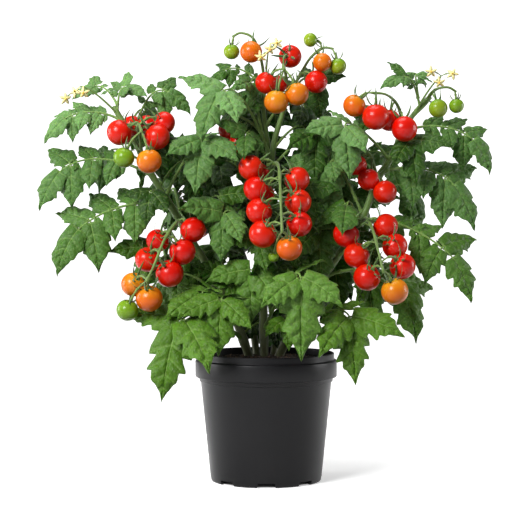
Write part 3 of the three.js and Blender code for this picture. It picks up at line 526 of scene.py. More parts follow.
def grown_leaf(base, radius, spec, index):
    """A compound leaf from a point on a stem, with the leaflets that find room."""
    pairs, tip = spec[3:]
    room = Room(base, 600, 2)
    ways = [stalk_curve(base, spec, turn, lift) for turn, lift, size in TURNS if size == 1]
    clear = (way for way in ways
        if room.is_clear(along_line(curved(way, 9)), radius + 11))
    curve = next(clear, ways[0])
    take(along_line(curved(curve, 9))[3:], LEAF_STALK_ROOM)
    wanted = [(1, 0, tip)]
    for pair in range(pairs):
        t = ONLY_PAIR if pairs == 1 else mix(FIRST_PAIR, LAST_PAIR, pair / (pairs - 1))
        usual = LATER_PAIR_SIZE if pair else FIRST_PAIR_SIZE
        for side in (-1, 1):
            share = usual * (1 + 0.1 * draw(index * 20 + pair * 2 + side))
            wanted.append((t, side, tip * share))
    found = [placed_leaflet(curve, wish, index * 31 + order * 7, 9, 3)
        for order, wish in enumerate(wanted)]
    return {"curve": curve, "leaflets": [leaflet for leaflet in found if leaflet], "tip": tip,
        "pairs": pairs, "index": index, "shade": 0}


leaves = {}
for row, (name, (stem, height, *specs)) in enumerate(LEAVES.items()):
    base, radius = stem_at(stem, height)
    leaves[name] = []
    for i, spec in enumerate(specs):
        leaf = grown_leaf(base, radius, spec, 2 * row + i)
        base, radius = bezier(leaf["curve"], 0.2), 1
        leaves[name].append(leaf)


# ---- meshes
WELD = 0.002  # points as near as this are one


class Blank:
    """Points, faces and point attributes gathered for one mesh, in millimetres."""

    def __init__(self, *names):
        self.points = []
        self.faces = []
        self.values = {name: [] for name in names}
        self.count = 0

    def add(self, points, faces, **values):
        points = np.asarray(points, float).reshape(-1, 3)
        self.points.append(points)
        self.faces.extend([[i + self.count for i in face] for face in faces])
        for name, kept in self.values.items():
            kept.append(np.broadcast_to(np.asarray(values[name], float), len(points)))
        self.count += len(points)

    def mesh(self, name):
        """The mesh in metres, its seams closed and its faces outward."""
        made = bpy.data.meshes.new(name)
        made.from_pydata((np.concatenate(self.points) * MM).tolist(), [], self.faces)
        for key, kept in self.values.items():
            values = made.attributes.new(key, "FLOAT", "POINT")
            values.data.foreach_set("value", np.concatenate(kept))
        joined = bmesh.new()
        joined.from_mesh(made)
        bmesh.ops.remove_doubles(joined, verts=joined.verts, dist=WELD * MM)
        bmesh.ops.recalc_face_normals(joined, faces=joined.faces)
        joined.to_mesh(made)
        joined.free()
        made.shade_smooth()
        return made


def linked(name, data):
    """A new object in the scene."""
    made = bpy.data.objects.new(name, data)
    bpy.context.scene.collection.objects.link(made)
    return made


def piece(name, mesh, nodes, material=None):
    """An object of the plant that stands for some of the frame's nodes."""
    made = linked(name, mesh)
    if material:
        mesh.materials.clear()
        mesh.materials.append(material)
    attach(made, "root")
    if nodes:
        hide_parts(*nodes)


def tube(points, radii, sides, ridge=0.0):
    """A closed tube's points and faces, along points with a radius at each, ridged if asked."""
    points = np.asarray(points, float)
    n = len(points)
    radii = np.broadcast_to(np.asarray(radii, float), n)
    ways = np.gradient(points, axis=0)
    ways /= np.linalg.norm(ways, axis=1, keepdims=True)
    side = np.cross(ways[0], UP if abs(ways[0][2]) < 0.9 else vec([1, 0, 0]))
    angles = np.arange(sides) * 2 * math.pi / sides
    swell = 1 + ridge * np.cos(5 * angles)
    rings = []
    for point, way, radius in zip(points, ways, radii):
        side = unit(side - way * (side @ way))
        other = np.cross(way, side)
        around = np.outer(np.cos(angles), side) + np.outer(np.sin(angles), other)
        rings.append(point + around * (radius * swell)[:, None])
    rings = [points[0] - ways[0] * radii[0] * 0.3, *rings, points[-1] + ways[-1] * radii[-1] * 0.5]
    faces = []
    last = 1 + (n - 1) * sides
    for k in range(sides):
        after = (k + 1) % sides
        faces.append([0, 1 + after, 1 + k])
        faces += [[a + k, a + after, a + sides + after, a + sides + k] for a in range(1, last, sides)]
        faces.append([last + k, last + after, last + sides])
    return np.vstack(rings), faces


# ---- leaflets
# From one side vein's end to the next: the share of the way, and how far the margin reaches there.
TOOTH_STEPS = [(0.0, 0.92), (0.1, 0.45), (0.22, 0.0), (0.44, 0.28), (0.66, 0.76), (0.84, 1.0)]
# Columns of points from the midrib to the margin, as shares of the way.
COLUMNS = np.array([0.0, 0.04, 0.15, 0.3, 0.45, 0.6, 0.74, 0.88, 1.0])
# Along the midrib: how wide the blade is, and how steeply side veins lean towards the tip.
OUTLINE = [(0.0, 0.44), (0.07, 0.76), (0.17, 1.0), (0.3, 1.02), (0.44, 0.86), (0.57, 0.61),
    (0.7, 0.37), (0.82, 0.19), (0.92, 0.08), (1.0, 0.0)]
VEIN_SLOPE = [(0.0, -0.5), (0.12, 0.25), (0.35, 0.7), (0.7, 0.75), (1.0, 0.6)]
# How deep the margin is cut before each side vein, from the root: lobes first, then a plain tip.
CUTS = {3: [0.12, 0.4, 0.1], 4: [0.12, 0.52, 0.2, 0.05], 5: [0.12, 0.56, 0.28, 0.1, 0.03]}
BLADE_THICKNESS = 0.36
FULLNESS = 0.95  # of the outline's width
# A blade's relief over its length: puffs between veins, crumples, waves and the midrib's groove.
PUFF = 0.04
CRUMPLE = 0.008
WAVE = 0.036
GROOVE = 0.005
RIB_POINTS = 7
STALK_POINTS = 22


def veins_of(length):
    """How many side veins a leaflet of a length has on each side."""
    return 3 if length < 24 else 4 if length < 42 else 5


def blade_rows(length, cut, k):
    """Where the rows across a blade start on the midrib, their reach, and their place between veins."""
    veins = veins_of(length)
    starts = [mix(0.05, 0.97, (v / veins) ** 0.95) for v in range(veins + 1)]
    starts[1:-1] = [s + 0.02 * draw(k + 3 * i) for i, s in enumerate(starts[1:-1])]
    rows = []
    for v, deep in enumerate(CUTS[veins]):
        depth = deep * cut * (1 + 0.25 * draw(k + v))
        for share, reach in TOOTH_STEPS:
            s = mix(starts[v], starts[v + 1], share)
            rows.append((s, 1 - depth * (1 - reach), share))
    return np.array(rows)


def blade(leaflet, cut, k, fine):
    """A leaflet's blade: a closed sheet, toothed where its side veins end, quilted between them."""
    length = leaflet["length"]
    frames = leaflet_frames(leaflet)
    rows = blade_rows(length, cut, k)
    columns = COLUMNS if length > 34 and fine else COLUMNS[[0, 1, 3, 5, 7, 8]]
    s, reach, share = (column[:, None] for column in rows.T)
    envelope = np.interp(s, *zip(*OUTLINE))
    points, values = [], {"vein": [], "under": []}
    grid = {}
    count = 0
    for side in (-1, 1):
        lean = 1 + 0.09 * side * draw(k + 9)
        q = columns[None, :]
        wide = FULLNESS * envelope * reach * q * lean
        along = s + np.interp(s, *zip(*VEIN_SLOPE)) * wide * HALF_WIDTH * mix(0.75, 1.0, q)
        puff = np.sin(math.pi * share) ** 0.8 * np.sin(math.pi * np.clip(q, 0, 1) ** 0.8) ** 0.7
        phase = 5 * draw(k + 12)
        crumple = (np.sin(17 * q + 6.3 * share + phase) + np.sin(26 * q - 12 * s + 2 * phase)
            + np.sin(38 * s + 9 * q + phase)) * np.sin(math.pi * q ** 0.7)
        wave = np.sin(6.3 * (1.7 * s + 0.4 * side + draw(k + 14))) * q ** 2
        lift = length * (PUFF * puff + CRUMPLE * crumple + WAVE * wave * (1 + 0.5 * draw(k + 15)))
        groove = -GROOVE * length * (q < 0.03)
        arch = length * HALF_WIDTH * (0.26 * wide ** 0.7 - 0.3 * wide ** 2)
        flat, tops = on_leaflet(frames, length, np.clip(along, 0, 1) + 0 * q, side * wide)
        thin = BLADE_THICKNESS * mix(1.0, 0.45, q + 0 * s)
        vein = np.maximum((share < 0.01) * 0.4 * (1 - 0.6 * q), (q < 0.03) * 1.0)
        height = lift + groove + arch
        for under in (0, 1):
            offset = height + (0.5 - under) * thin
            grid[side, under] = count + np.arange(flat.shape[0] * flat.shape[1]).reshape(flat.shape[:2])
            count += flat.shape[0] * flat.shape[1]
            points.append((flat + tops * offset[..., None]).reshape(-1, 3))
            values["vein"].append(np.ravel(vein))
            values["under"].append(np.full(vein.size, under))
    faces = []
    tip = count
    start = count + 1
    for at in (1.0, rows[0][0] - 0.03):
        points.append(on_leaflet(frames, length, at, 0.0)[0][None])
    for key, value in (("vein", 0.6), ("under", 0.0)):
        values[key].append(np.full(2, value))
    for side in (-1, 1):
        for under in (0, 1):
            g = grid[side, under]
            flip = (side > 0) == (under == 1)
            quads = np.stack([g[:-1, :-1], g[:-1, 1:], g[1:, 1:], g[1:, :-1]], -1).reshape(-1, 4)
            last = np.stack([g[-1, :-1], g[-1, 1:], np.full(g.shape[1] - 1, tip)], -1)
            first = np.stack([g[0, 1:], g[0, :-1], np.full(g.shape[1] - 1, start)], -1)
            for block in (quads, last, first):
                faces += (block if flip else block[:, ::-1]).tolist()
        a, b = grid[side, 0][:, -1], grid[side, 1][:, -1]
        wall = np.stack([a[:-1], a[1:], b[1:], b[:-1]], -1)
        ends = np.array([[a[-1], tip, b[-1]], [start, a[0], b[0]]])
        for block in (wall, ends):
            faces += (block if side < 0 else block[:, ::-1]).tolist()
    points = np.concatenate(points)
    return points, faces, {key: np.concatenate(value) for key, value in values.items()}


def grow_blade(blank, leaflet, tint, warm, cut, k, fine):
    """Adds a leaflet's blade and the rib under it."""
    points, faces, values = blade(leaflet, cut, k, fine)
    # tint carries the leaf's painted shade and painted light, with a little random tone for each
    # leaflet.
    blank.add(points, faces, tint=tint + 0.16 * draw(k + 21), warm=warm, **values)
    frames = leaflet_frames(leaflet)
    places = np.linspace(0, 0.9, RIB_POINTS)
    line = on_leaflet(frames, leaflet["length"], places, np.zeros(RIB_POINTS))[0]
    line[0] = leaflet["root"]
    girth = np.linspace(0.017, 0.004, RIB_POINTS) * leaflet["length"] + 0.1
    rib = tube(line - frames[1][0] * 0.25, girth, 6)
    blank.add(*rib, vein=0.85, tint=tint, under=0.3, warm=warm)


def between_pairs(leaf):
    """The small leaflets that a leaf carries between and below its pairs."""
    tip, pairs, index = leaf["tip"], leaf["pairs"], leaf["index"]
    places = {1: [(0.7, 0.5), (0.5, 0.34)], 2: [(0.68, 0.34), (0.28, 0.34)],
        3: [(0.8, 0.26), (0.56, 0.28), (0.32, 0.34)]}[pairs]
    wishes = [(t + 0.012 * draw(index + side), side, tip * share * (1 + 0.2 * draw(index * 3 + side)))
        for t, share in places for side in (-1, 1)]
    found = [placed_leaflet(leaf["curve"], wish, index * 57 + order * 5 + 900, 7, 2)
        for order, wish in enumerate(wishes)]
    return [leaflet for leaflet in found if leaflet]


# Young leaves: the height between two on a stem, and the golden angle between them.
YOUNG_STEP = 21
YOUNG_LOWEST = 166
YOUNG_BARE_TOP = 20
# YOUNG_SHADE: young leaves fill the inside of the plant, so they get more painted shade.
YOUNG_SHADE = -0.45
YOUNG_TURN = 137.5
YOUNG_FRONT = -34  # they stay behind the trusses


def young_leaves(name, row):
    """A stem's young leaves, each where the old ones leave it room."""
    found = []
    top = STEMS[name]["line"][-1][2] - YOUNG_BARE_TOP
    for k, height in enumerate(np.arange(YOUNG_LOWEST, top, YOUNG_STEP)):
        point, radius = stem_at(name, float(height))
        aim = YOUNG_TURN * k + 70 * row
        length = 54 + 14 * draw(3 * k + row)
        end = point + heading(aim, 28 + 14 * draw(k)) * length
        end[1] = max(end[1], YOUNG_FRONT)
        spec = [list(end), aim, -64, 1, 47 + 9 * draw(k + 5 * row)]
        leaf = grown_leaf(point, radius, spec, 200 + 40 * row + k)
        if leaf["leaflets"]:
            leaf.update(extras=[], shade=YOUNG_SHADE)
            found.append(leaf)
    return found


def leaf_mesh(name, grown):
    """A piece of foliage: the leaves from one bud, each with its stalk."""
    blank = Blank("vein", "tint", "under", "warm")
    for leaf in grown:
        index, curve = leaf["index"], leaf["curve"]
        places = np.linspace(0, 1, STALK_POINTS)
        size = 1.05 + leaf["tip"] / 90
        girth = size * np.interp(places, [0, 0.05, 0.12, 1], [1.7, 1.5, 1.05, 0.5])
        # tint: painted shade inside the plant and painted light at its outside, with random tone.
        tint, warm = leaf_painted_light_and_shade(curve[3], index) + leaf["shade"], leaf_warmth(curve[3])
        stalk = tube(curved(curve, STALK_POINTS), girth, 8)
        blank.add(*stalk, vein=0.85, tint=tint, under=0.3, warm=warm)
        for order, leaflet in enumerate(leaf["leaflets"] + leaf["extras"]):
            cut = leaf_cut(curve[3]) * (1 + 0.3 * draw(index * 5 + order))
            grow_blade(blank, leaflet, tint, warm, cut, index * 41 + order * 13, not leaf["shade"])
    return blank.mesh(name)


# Where leaves are old or warm in colour, and where leaves at the front, the back and the sides start to
# get painted light.
OLD_BELOW = 300
WARM_BELOW = 330
FRONT_LIGHT = -8
REAR_LIGHT = 104
SIDE_LIGHT = 90


def leaf_cut(far):
    """How deep a leaf's margins are cut: old low leaves most."""
    return 0.38 + 0.24 * np.clip((OLD_BELOW - far[2]) / 110, 0, 1)


def leaf_painted_light_and_shade(far, index):
    """Painted shade inside the plant, and painted light where a leaf hangs at the front, the back or
    the side.
    """
    front = np.clip(max(FRONT_LIGHT - far[1], far[1] - REAR_LIGHT) / 48, -1, 1)
    wide = np.clip((abs(far[0]) - SIDE_LIGHT) / 60, -1, 1)
    return float(0.66 * max(front, 0.8 * wide) + 0.3 * draw(index * 3 + 1))


def leaf_warmth(far):
    """Yellow-green low down, blue-green above."""
    return float(np.clip((WARM_BELOW - far[2]) / 130, 0, 1))


# ---- node trees
def feed(tree, node, inputs):
    """Gives a node's inputs their values, or the outputs that feed them."""
    for key, value in inputs.items():
        if isinstance(value, bpy.types.NodeSocket):
            tree.links.new(value, node.inputs[key])
        else:
            node.inputs[key].default_value = value


def add(tree, kind, inputs=None, **settings):
    """Adds a node with its settings and inputs."""
    made = tree.nodes.new(kind)
    for key, value in settings.items():
        setattr(made, key, value)
    feed(tree, made, inputs or {})
    return made


def geometry_tree(name, sockets):
    """A tree from geometry to geometry with named inputs, and the outputs of its input node."""
    tree = bpy.data.node_groups.new(name, "GeometryNodeTree")
    for title, kind in {"Geometry": "Geometry", **sockets}.items():
        tree.interface.new_socket(title, in_out="INPUT", socket_type="NodeSocket" + kind)
    tree.interface.new_socket("Geometry", in_out="OUTPUT", socket_type="NodeSocketGeometry")
    return tree, add(tree, "NodeGroupInput").outputs


def finish_tree(tree, geometry, material):
    """Makes the copies real, dresses them and ends the tree."""
    real = add(tree, "GeometryNodeRealizeInstances", {"Geometry": geometry})
    dressed = add(tree, "GeometryNodeSetMaterial",
        {"Geometry": real.outputs[0], "Material": material})
    add(tree, "NodeGroupOutput", {"Geometry": dressed.outputs[0]})
    return tree


def baked(carrier, name):
    """The plain mesh that an object's modifiers make. The object itself goes."""
    graph = bpy.context.evaluated_depsgraph_get()
    made = bpy.data.meshes.new_from_object(carrier.evaluated_get(graph), depsgraph=graph)
    bpy.data.objects.remove(carrier)
    made.name = name
    return made


def run_tree(name, mesh, tree, values):
    """The plain mesh that a tree makes from a mesh."""
    carrier = linked(name, mesh)
    modifier = carrier.modifiers.new("Grow", "NODES")
    modifier.node_group = tree
    for item in tree.interface.items_tree:
        if item.item_type == "SOCKET" and item.in_out == "INPUT" and item.name in values:
            modifier[item.identifier] = values[item.name]
    return baked(carrier, name)


def placed_masters(tree, points, given, rotation, scale):
    """Sets the master form that is given on each point."""
    master = add(tree, "GeometryNodeObjectInfo", {"Object": given["Master"]})
    return add(tree, "GeometryNodeInstanceOnPoints", {"Points": points,
        "Instance": master.outputs["Geometry"], "Rotation": rotation, "Scale": scale}).outputs[0]


def chance(tree, low, high, **more):
    """A random number for each point."""
    return add(tree, "FunctionNodeRandomValue", {2: low, 3: high, **more},
        data_type="FLOAT").outputs[1]


def planting_tree(name, material):
    """Sets a master form on each point: spun by chance, turned to face out, at the point's size."""
    tree, given = geometry_tree(name, {"Master": "Object", "Seed": "Int"})
    facing = add(tree, "GeometryNodeInputNamedAttribute", {"Name": "facing"},
        data_type="FLOAT_VECTOR")
    size = add(tree, "GeometryNodeInputNamedAttribute", {"Name": "size"}, data_type="FLOAT")
    spin = chance(tree, 0.0, 2 * math.pi, Seed=given["Seed"])
    about = add(tree, "ShaderNodeCombineXYZ", {"Z": spin})
    turn = add(tree, "FunctionNodeEulerToRotation", {"Euler": about.outputs[0]})
    aligned = add(tree, "FunctionNodeAlignRotationToVector",
        {"Rotation": turn.outputs[0], "Vector": facing.outputs[0]}, axis="Z")
    placed = placed_masters(tree, given["Geometry"], given, aligned.outputs[0], size.outputs[0])
    return finish_tree(tree, placed, material)


def spots(name, places, facings, sizes, **more):
    """A mesh of points with what the planting tree reads at each one."""
    mesh = bpy.data.meshes.new(name)
    mesh.from_pydata((np.array(places) * MM).tolist(), [], [])
    facing = mesh.attributes.new("facing", "FLOAT_VECTOR", "POINT")
    facing.data.foreach_set("vector", np.ravel(facings))
    for key, values in {"size": np.array(sizes) * MM, **more}.items():
        mesh.attributes.new(key, "FLOAT", "POINT").data.foreach_set("value", np.ravel(values))
    return mesh


def planted(name, points, master, material, seed):
    return run_tree(name, points, planting_tree(name + "_planting", material),
        {"Master": master, "Seed": seed})


# ---- fruits
RIPENESS = {"red": (0.95, 0.06), "orange": (0.55, 0.09), "green": (0.08, 0.1)}  # and its spread
FRUIT_HEIGHT = 0.965  # over its width


def fruit_form():
    """A round fruit of radius 1, stem end up: a dimple under the calyx and a small end scar."""
    form = bmesh.new()
    bmesh.ops.create_icosphere(form, subdivisions=4, radius=1)
    mesh = bpy.data.meshes.new("fruit_form")
    crown = []
    for v in form.verts:
        polar = math.acos(max(-1, min(1, v.co.z)))
        around = math.atan2(v.co.y, v.co.x)
        dimple = 0.13 * math.exp(-((polar / 0.3) ** 2))
        scar = 0.02 * math.exp(-(((math.pi - polar) / 0.09) ** 2))
        lobes = 0.008 * math.cos(4 * around) * math.sin(polar) * max(0, math.cos(polar))
        v.co *= 1 - dimple - scar + lobes
        v.co.z *= FRUIT_HEIGHT
        crown.append(math.exp(-((polar / 1.05) ** 2)))
    form.to_mesh(mesh)
    form.free()
    mesh.attributes.new("crown", "FLOAT", "POINT").data.foreach_set("value", crown)
    mesh.shade_smooth()
    return mesh


def ripeness_of(fruit, k):
    kind = fruit["ripeness"].split()[-1]
    usual, spread = RIPENESS[kind]
    return kind, usual + spread * draw(k + 300)


# ---- calyces and flowers
def ribbon(blank, line, across, widths, depth, **values):
    """A closed, keeled ribbon along a line, such as a sepal or a petal."""
    n = len(line)
    across, widths = np.tile(across, (n, 1)), widths[:, None]
    ways = np.gradient(line, axis=0)
    ways /= np.linalg.norm(ways, axis=1, keepdims=True)
    ups = np.cross(ways, across)
    left, right = line - across * widths, line + across * widths
    keel = line - ups * depth
    points = np.stack([left, line + ups * depth * 0.4, right, keel], 1).reshape(-1, 3)
    faces = []
    for i in range(n - 1):
        for k in range(4):
            a, b = 4 * i + k, 4 * i + (k + 1) % 4
            faces.append([a, b, b + 4, a + 4])
    faces += [[3, 2, 1, 0], [4 * n - 4, 4 * n - 3, 4 * n - 2, 4 * n - 1]]
    blank.add(points, faces, **values)


def sepal(k, t, out, side):
    """A sepal's line and widths: along the fruit's shoulder, then curled up at the tip."""
    reach = 1.06 + 0.22 * draw(k + 75)
    curl = 0.86 + 0.34 * draw(k + 80)
    r = 0.06 + reach * np.sin(1.15 * t)
    z = 0.97 - 0.16 * np.sin(math.pi * t ** 0.8) * reach + curl * t ** 2.2
    line = np.outer(r, out) + np.outer(z, UP) + np.outer(0.1 * t ** 2 * draw(k + 85), side)
    return line, 0.098 * np.sin(math.pi * np.clip(0.16 + 0.84 * t, 0, 1)) ** 0.8 + 0.008


def petal(k, t, out, side):
    """A petal's line and widths: level, then bent back."""
    line = np.outer(0.08 + 0.92 * t, out) + np.outer(0.12 * t - 0.5 * t ** 2.2, UP)
    return line, 0.235 * np.sin(math.pi * np.clip(0.2 + 0.8 * t, 0, 1)) ** 0.9 + 0.01


def star_form(name, ray, steps, depth, wobble, seed, core, sides, tips):
    """Five rays round a core, for a fruit or flower of radius 1. The core is heights and radii."""
    blank = Blank("tip")
    for k in range(5):
        spin = k * 2 * math.pi / 5 + wobble * draw(k + seed)
        out = vec([math.cos(spin), math.sin(spin), 0])
        side = vec([-math.sin(spin), math.cos(spin), 0])
        line, widths = ray(k, np.linspace(0, 1, steps), out, side)
        ribbon(blank, line, side, widths, depth, tip=tips[0])
    heights, radii = zip(*core)
    blank.add(*tube([[0, 0, z] for z in heights], radii, sides), tip=tips[1])
    mesh = blank.mesh(name)
    mesh.transform(Matrix.Scale(1 / MM, 4))
    return mesh


def calyx_form():
    core = [(0.86, 0.13), (0.93, 0.15), (1.0, 0.12), (1.06, 0.08)]
    return star_form("calyx_form", sepal, 9, 0.022, 0.22, 70, core, 10, (0.5, 0.2))


def flower_form():
    core = [(-0.05, 0.13), (0.1, 0.17), (0.3, 0.12), (0.52, 0.05)]
    return star_form("flower_form", petal, 8, 0.03, 0.1, 90, core, 8, (0.0, 1.0))


# ---- stems
def swollen(line, radii, joints):
    """Radii along a line, thicker where leaves and trusses leave it."""
    for joint in joints:
        apart = np.linalg.norm(line - joint, axis=1)
        radii = radii * (1 + 0.22 * np.exp(-((apart / 6) ** 2)))
    return radii


def stem_mesh(name):
    """A stem with its trusses' stalks and pedicels. Each pedicel has a knee half way."""
    blank = Blank("age", "knee")
    trusses = [truss for truss in TRUSSES.values() if truss["stem"] == name]
    joints = [stem_at(stem, height)[0] for stem, height, *_ in LEAVES.values() if stem == name]
    joints += [vec(truss["stalk"][0]) for truss in trusses]
    for stem in [STEMS[name], *([FORK] if FORK["stem"] == name else [])]:
        line = smoothed(stem["line"], 7)
        radii = np.linspace(*stem["radii"], len(line))
        points, faces = tube(line, swollen(line, radii, joints), 14, 0.05)
        age = np.clip(1 - (points[:, 2] - 140) / 160, 0, 1)
        blank.add(points, faces, age=age, knee=0.0)
    t = np.linspace(0, 1, 13)
    girth = 1.05 + 0.75 * np.exp(-(((t - 0.52) / 0.07) ** 2)) + 0.9 * t ** 6
    for truss in trusses:
        line = smoothed([vec(p) for p in truss["stalk"]], 6)
        radii = swollen(line, np.linspace(1.9, 1.1, len(line)), [f["start"] for f in truss["grown"]])
        blank.add(*tube(line, radii, 9), age=0.1, knee=0.1)
        for fruit in truss["grown"]:
            blank.add(*tube(curved(pedicel_curve(fruit, 0.2), 13), girth, 8), age=0.0, knee=0.2)
    return blank.mesh(name)


def spray_mesh(name):
    """A spray's stalk, and the jointed stalks of its flowers."""
    blank = Blank("age", "knee")
    spray = SPRAYS[name]
    blank.add(*tube(curved(spray["curve"], 14), np.linspace(1.4, 0.8, 14), 8), age=0.0, knee=0.1)
    far = spray["curve"][2]
    for k, centre in enumerate(spray["flowers"]):
        back = vec(centre) - flower_facing(name, k) * 1.5
        bend = mix(far, back, 0.5) + UP * 3
        girth = [0.7, 0.6, 0.6, 1.0, 0.6, 0.6, 0.9, 1.5]
        blank.add(*tube(curved([far, bend, back], 8), girth, 7), age=0.0, knee=0.2)
    return blank.mesh("spray_" + name)


def flower_facing(name, k):
    seed = 40 * list(SPRAYS).index(name) + 5 * k
    return unit(vec([0.3 * draw(seed), -1, -0.2 + 0.4 * draw(seed + 1)]))


# ---- pot and potting mix
POT_PROFILE = [(56, 0.8), (58.5, 0), (60.5, 0), (61.9, 0.5), (62.7, 1.5), (63.1, 3.2),
    (68.5, 56), (74.2, 112.6), (74.5, 113.3), (75.5, 113.8), (75.8, 114.6), (76, 117.4),
    (76.4, 118.1), (78.9, 118.5), (80.0, 119.0), (80.4, 120.0), (80.5, 128), (80.5, 136.2),
    (80.2, 137.2), (79.4, 137.9), (78.2, 138.2), (77.6, 138.8), (77.4, 139.8), (77.5, 143.8),
    (77.3, 145.2), (76.7, 145.9), (75.9, 145.9), (75.5, 145.3), (75.5, 140), (76.2, 130),
    (76.4, 121.2), (75.9, 120.2), (73.1, 117.6), (72.6, 113), (61.3, 4.2), (60, 2.6)]
POT_SIDES = 144
SHARP_EDGE = 32
MIX_RADIUS = 75.2
MIX_SKIRT = [(72.3, 117), (61.2, 6)]  # under the top, inside the pot
MIX_RINGS = 46
MIX_SIDES = 120
CRUMB_PLAN = {"Crumbs per square metre": 95000.0, "Smallest": 0.0006, "Largest": 0.0021, "Seed": 4}


def ring(radius, height, sides):
    angles = np.arange(sides) * 2 * math.pi / sides
    return [(radius * math.cos(a), radius * math.sin(a), height) for a in angles]


def pot_mesh():
    """The moulded shell, turned from its section, with the drainage notches cut from its foot."""
    shell = Blank()
    points = [p for r, z in POT_PROFILE for p in ring(r, z, POT_SIDES)]
    points += [(0, 0, POT_PROFILE[0][1]), (0, 0, POT_PROFILE[-1][1])]
    n, count = POT_SIDES, len(POT_PROFILE)
    top = (count - 1) * n
    faces = []
    for k in range(n):
        after = (k + 1) % n
        faces += [[a + k, a + after, a + n + after, a + n + k] for a in range(0, top, n)]
        faces += [[count * n, after, k], [count * n + 1, top + k, top + after]]
    shell.add(points, faces)
    notches = Blank()
    for i in range(NOTCHES):
        turn = i * 2 * math.pi / NOTCHES
        out = vec([math.sin(turn), -math.cos(turn), 0])
        side = vec([math.cos(turn), math.sin(turn), 0])
        corners = [out * (POT_FOOT + d) + side * w * NOTCH_WIDTH / 2 + UP * h
            for h, scale in ((-3, 1), (NOTCH_HEIGHT, 0.86))
            for d, w in ((-7, -scale), (7, -scale), (7, scale), (-7, scale))]
        notches.add(corners, [[3, 2, 1, 0], [4, 5, 6, 7], [0, 1, 5, 4], [1, 2, 6, 5],
            [2, 3, 7, 6], [3, 0, 4, 7]])
    return cut(shell.mesh("pot_shell"), notches.mesh("notches"))


def cut(mesh, tool):
    """A mesh with another one cut out of it."""
    body, knife = linked(mesh.name, mesh), linked(tool.name, tool)
    modifier = body.modifiers.new("Cut", "BOOLEAN")
    modifier.object = knife
    modifier.operation = "DIFFERENCE"
    modifier.solver = "EXACT"
    made = baked(body, mesh.name)
    bpy.data.objects.remove(knife)
    made.shade_smooth()
    made.set_sharp_from_angle(angle=math.radians(SHARP_EDGE))
    return made


def mix_height(x, y):
    """The height of the potting mix: a mound that is lumpy at the size of a bark chip."""
    r = math.hypot(x, y)
    mound = SOIL_LEVEL + np.interp(r, [0, 30, 52, 70, 75.3], [3, 2.6, 0.6, -2.5, -7])
    lumps = noise.fractal(Vector((x / 9, y / 9, 3)), 0.7, 2.1, 4)
    return mound + 2.2 * lumps - 0.6


def mix_mesh():
    """The potting mix: its lumpy top, in rings out from the middle, and its plain underside."""
    blank = Blank("chip")
    n = MIX_SIDES
    points = [(0, 0, mix_height(0, 0))]
    for r in MIX_RADIUS * (np.arange(1, MIX_RINGS + 1) / MIX_RINGS) ** 0.8:
        points += [(x, y, mix_height(x, y)) for x, y, z in ring(r, 0, n)]
    for r, z in MIX_SKIRT:
        points += ring(r, z, n)
    points.append((0, 0, MIX_SKIRT[-1][1]))
    pairs = [(k, (k + 1) % n) for k in range(n)]
    last = 1 + (MIX_RINGS + len(MIX_SKIRT) - 1) * n
    faces = [[0, 1 + k, 1 + after] for k, after in pairs]
    for a in range(1, last, n):
        faces += [[a + k, a + n + k, a + n + after, a + after] for k, after in pairs]
    faces += [[last + after, last + k, len(points) - 1] for k, after in pairs]
    blank.add(points, faces, chip=0.0)
    return blank.mesh("potting_mix_fill")


def crumb_form():
    """A rough crumb of peat or bark of radius 1."""
    form = bmesh.new()
    bmesh.ops.create_icosphere(form, subdivisions=1, radius=1)
    for v in form.verts:
        v.co *= 1 + 0.35 * noise.noise(v.co * 1.9)
        v.co.z *= 0.62
        v.co.x *= 1.25
    mesh = bpy.data.meshes.new("crumb_form")
    form.to_mesh(mesh)
    form.free()
    return mesh


def crumb_tree(material):
    """Scatters crumbs of many sizes over the top of the mix."""
    tree, given = geometry_tree("crumb_scatter", {"Master": "Object",
        "Crumbs per square metre": "Float", "Smallest": "Float", "Largest": "Float", "Seed": "Int"})
    seed = given["Seed"]
    normal = add(tree, "GeometryNodeInputNormal")
    rise = add(tree, "ShaderNodeSeparateXYZ", {0: normal.outputs[0]})
    top = add(tree, "FunctionNodeCompare", {0: rise.outputs["Z"], 1: 0.3}, operation="GREATER_THAN")
    spread = add(tree, "GeometryNodeDistributePointsOnFaces", {"Mesh": given["Geometry"],
        "Selection": top.outputs[0], "Density": given["Crumbs per square metre"], "Seed": seed})
    size = chance(tree, given["Smallest"], given["Largest"], Seed=seed)
    turn = add(tree, "FunctionNodeRandomValue", {0: (-0.6, -0.6, 0), 1: (0.6, 0.6, 6.3),
        "Seed": seed}, data_type="FLOAT_VECTOR")
    placed = placed_masters(tree, spread.outputs["Points"], given, turn.outputs[0], size)
    stored = add(tree, "GeometryNodeStoreNamedAttribute", {"Geometry": placed, "Name": "chip",
        "Value": chance(tree, 0.0, 1.0)}, data_type="FLOAT", domain="INSTANCE")
    return finish_tree(tree, stored.outputs[0], material)


# ---- finishes
def tint(code):
    """A colour from its sRGB hex code, in linear numbers."""
    parts = [int(code[i:i + 2], 16) / 255 for i in (1, 3, 5)]
    return (*[c / 12.92 if c <= 0.04045 else ((c + 0.055) / 1.055) ** 2.4 for c in parts], 1.0)


def finish_of(name):
    """A new material, its tree and its shader."""
    material = bpy.data.materials.new(name)
    material.use_nodes = True
    tree = material.node_tree
    return material, tree, tree.nodes["Principled BSDF"]


def attribute(tree, name):
    return add(tree, "ShaderNodeAttribute", attribute_name=name).outputs["Fac"]


def object_place(tree):
    """The place on the object, in metres."""
    return add(tree, "ShaderNodeTexCoord").outputs["Object"]


def clouds(tree, place, scale, detail):
    """Soft noise, mostly near a half."""
    return add(tree, "ShaderNodeTexNoise",
        {"Vector": place, "Scale": scale, "Detail": detail}).outputs["Fac"]


def blend(tree, factor, a, b, mode="MIX"):
    return add(tree, "ShaderNodeMix", {0: factor, 6: a, 7: b}, data_type="RGBA",
        blend_type=mode).outputs[2]


def maths(tree, operation, *values):
    return add(tree, "ShaderNodeMath", dict(enumerate(values)), operation=operation).outputs[0]


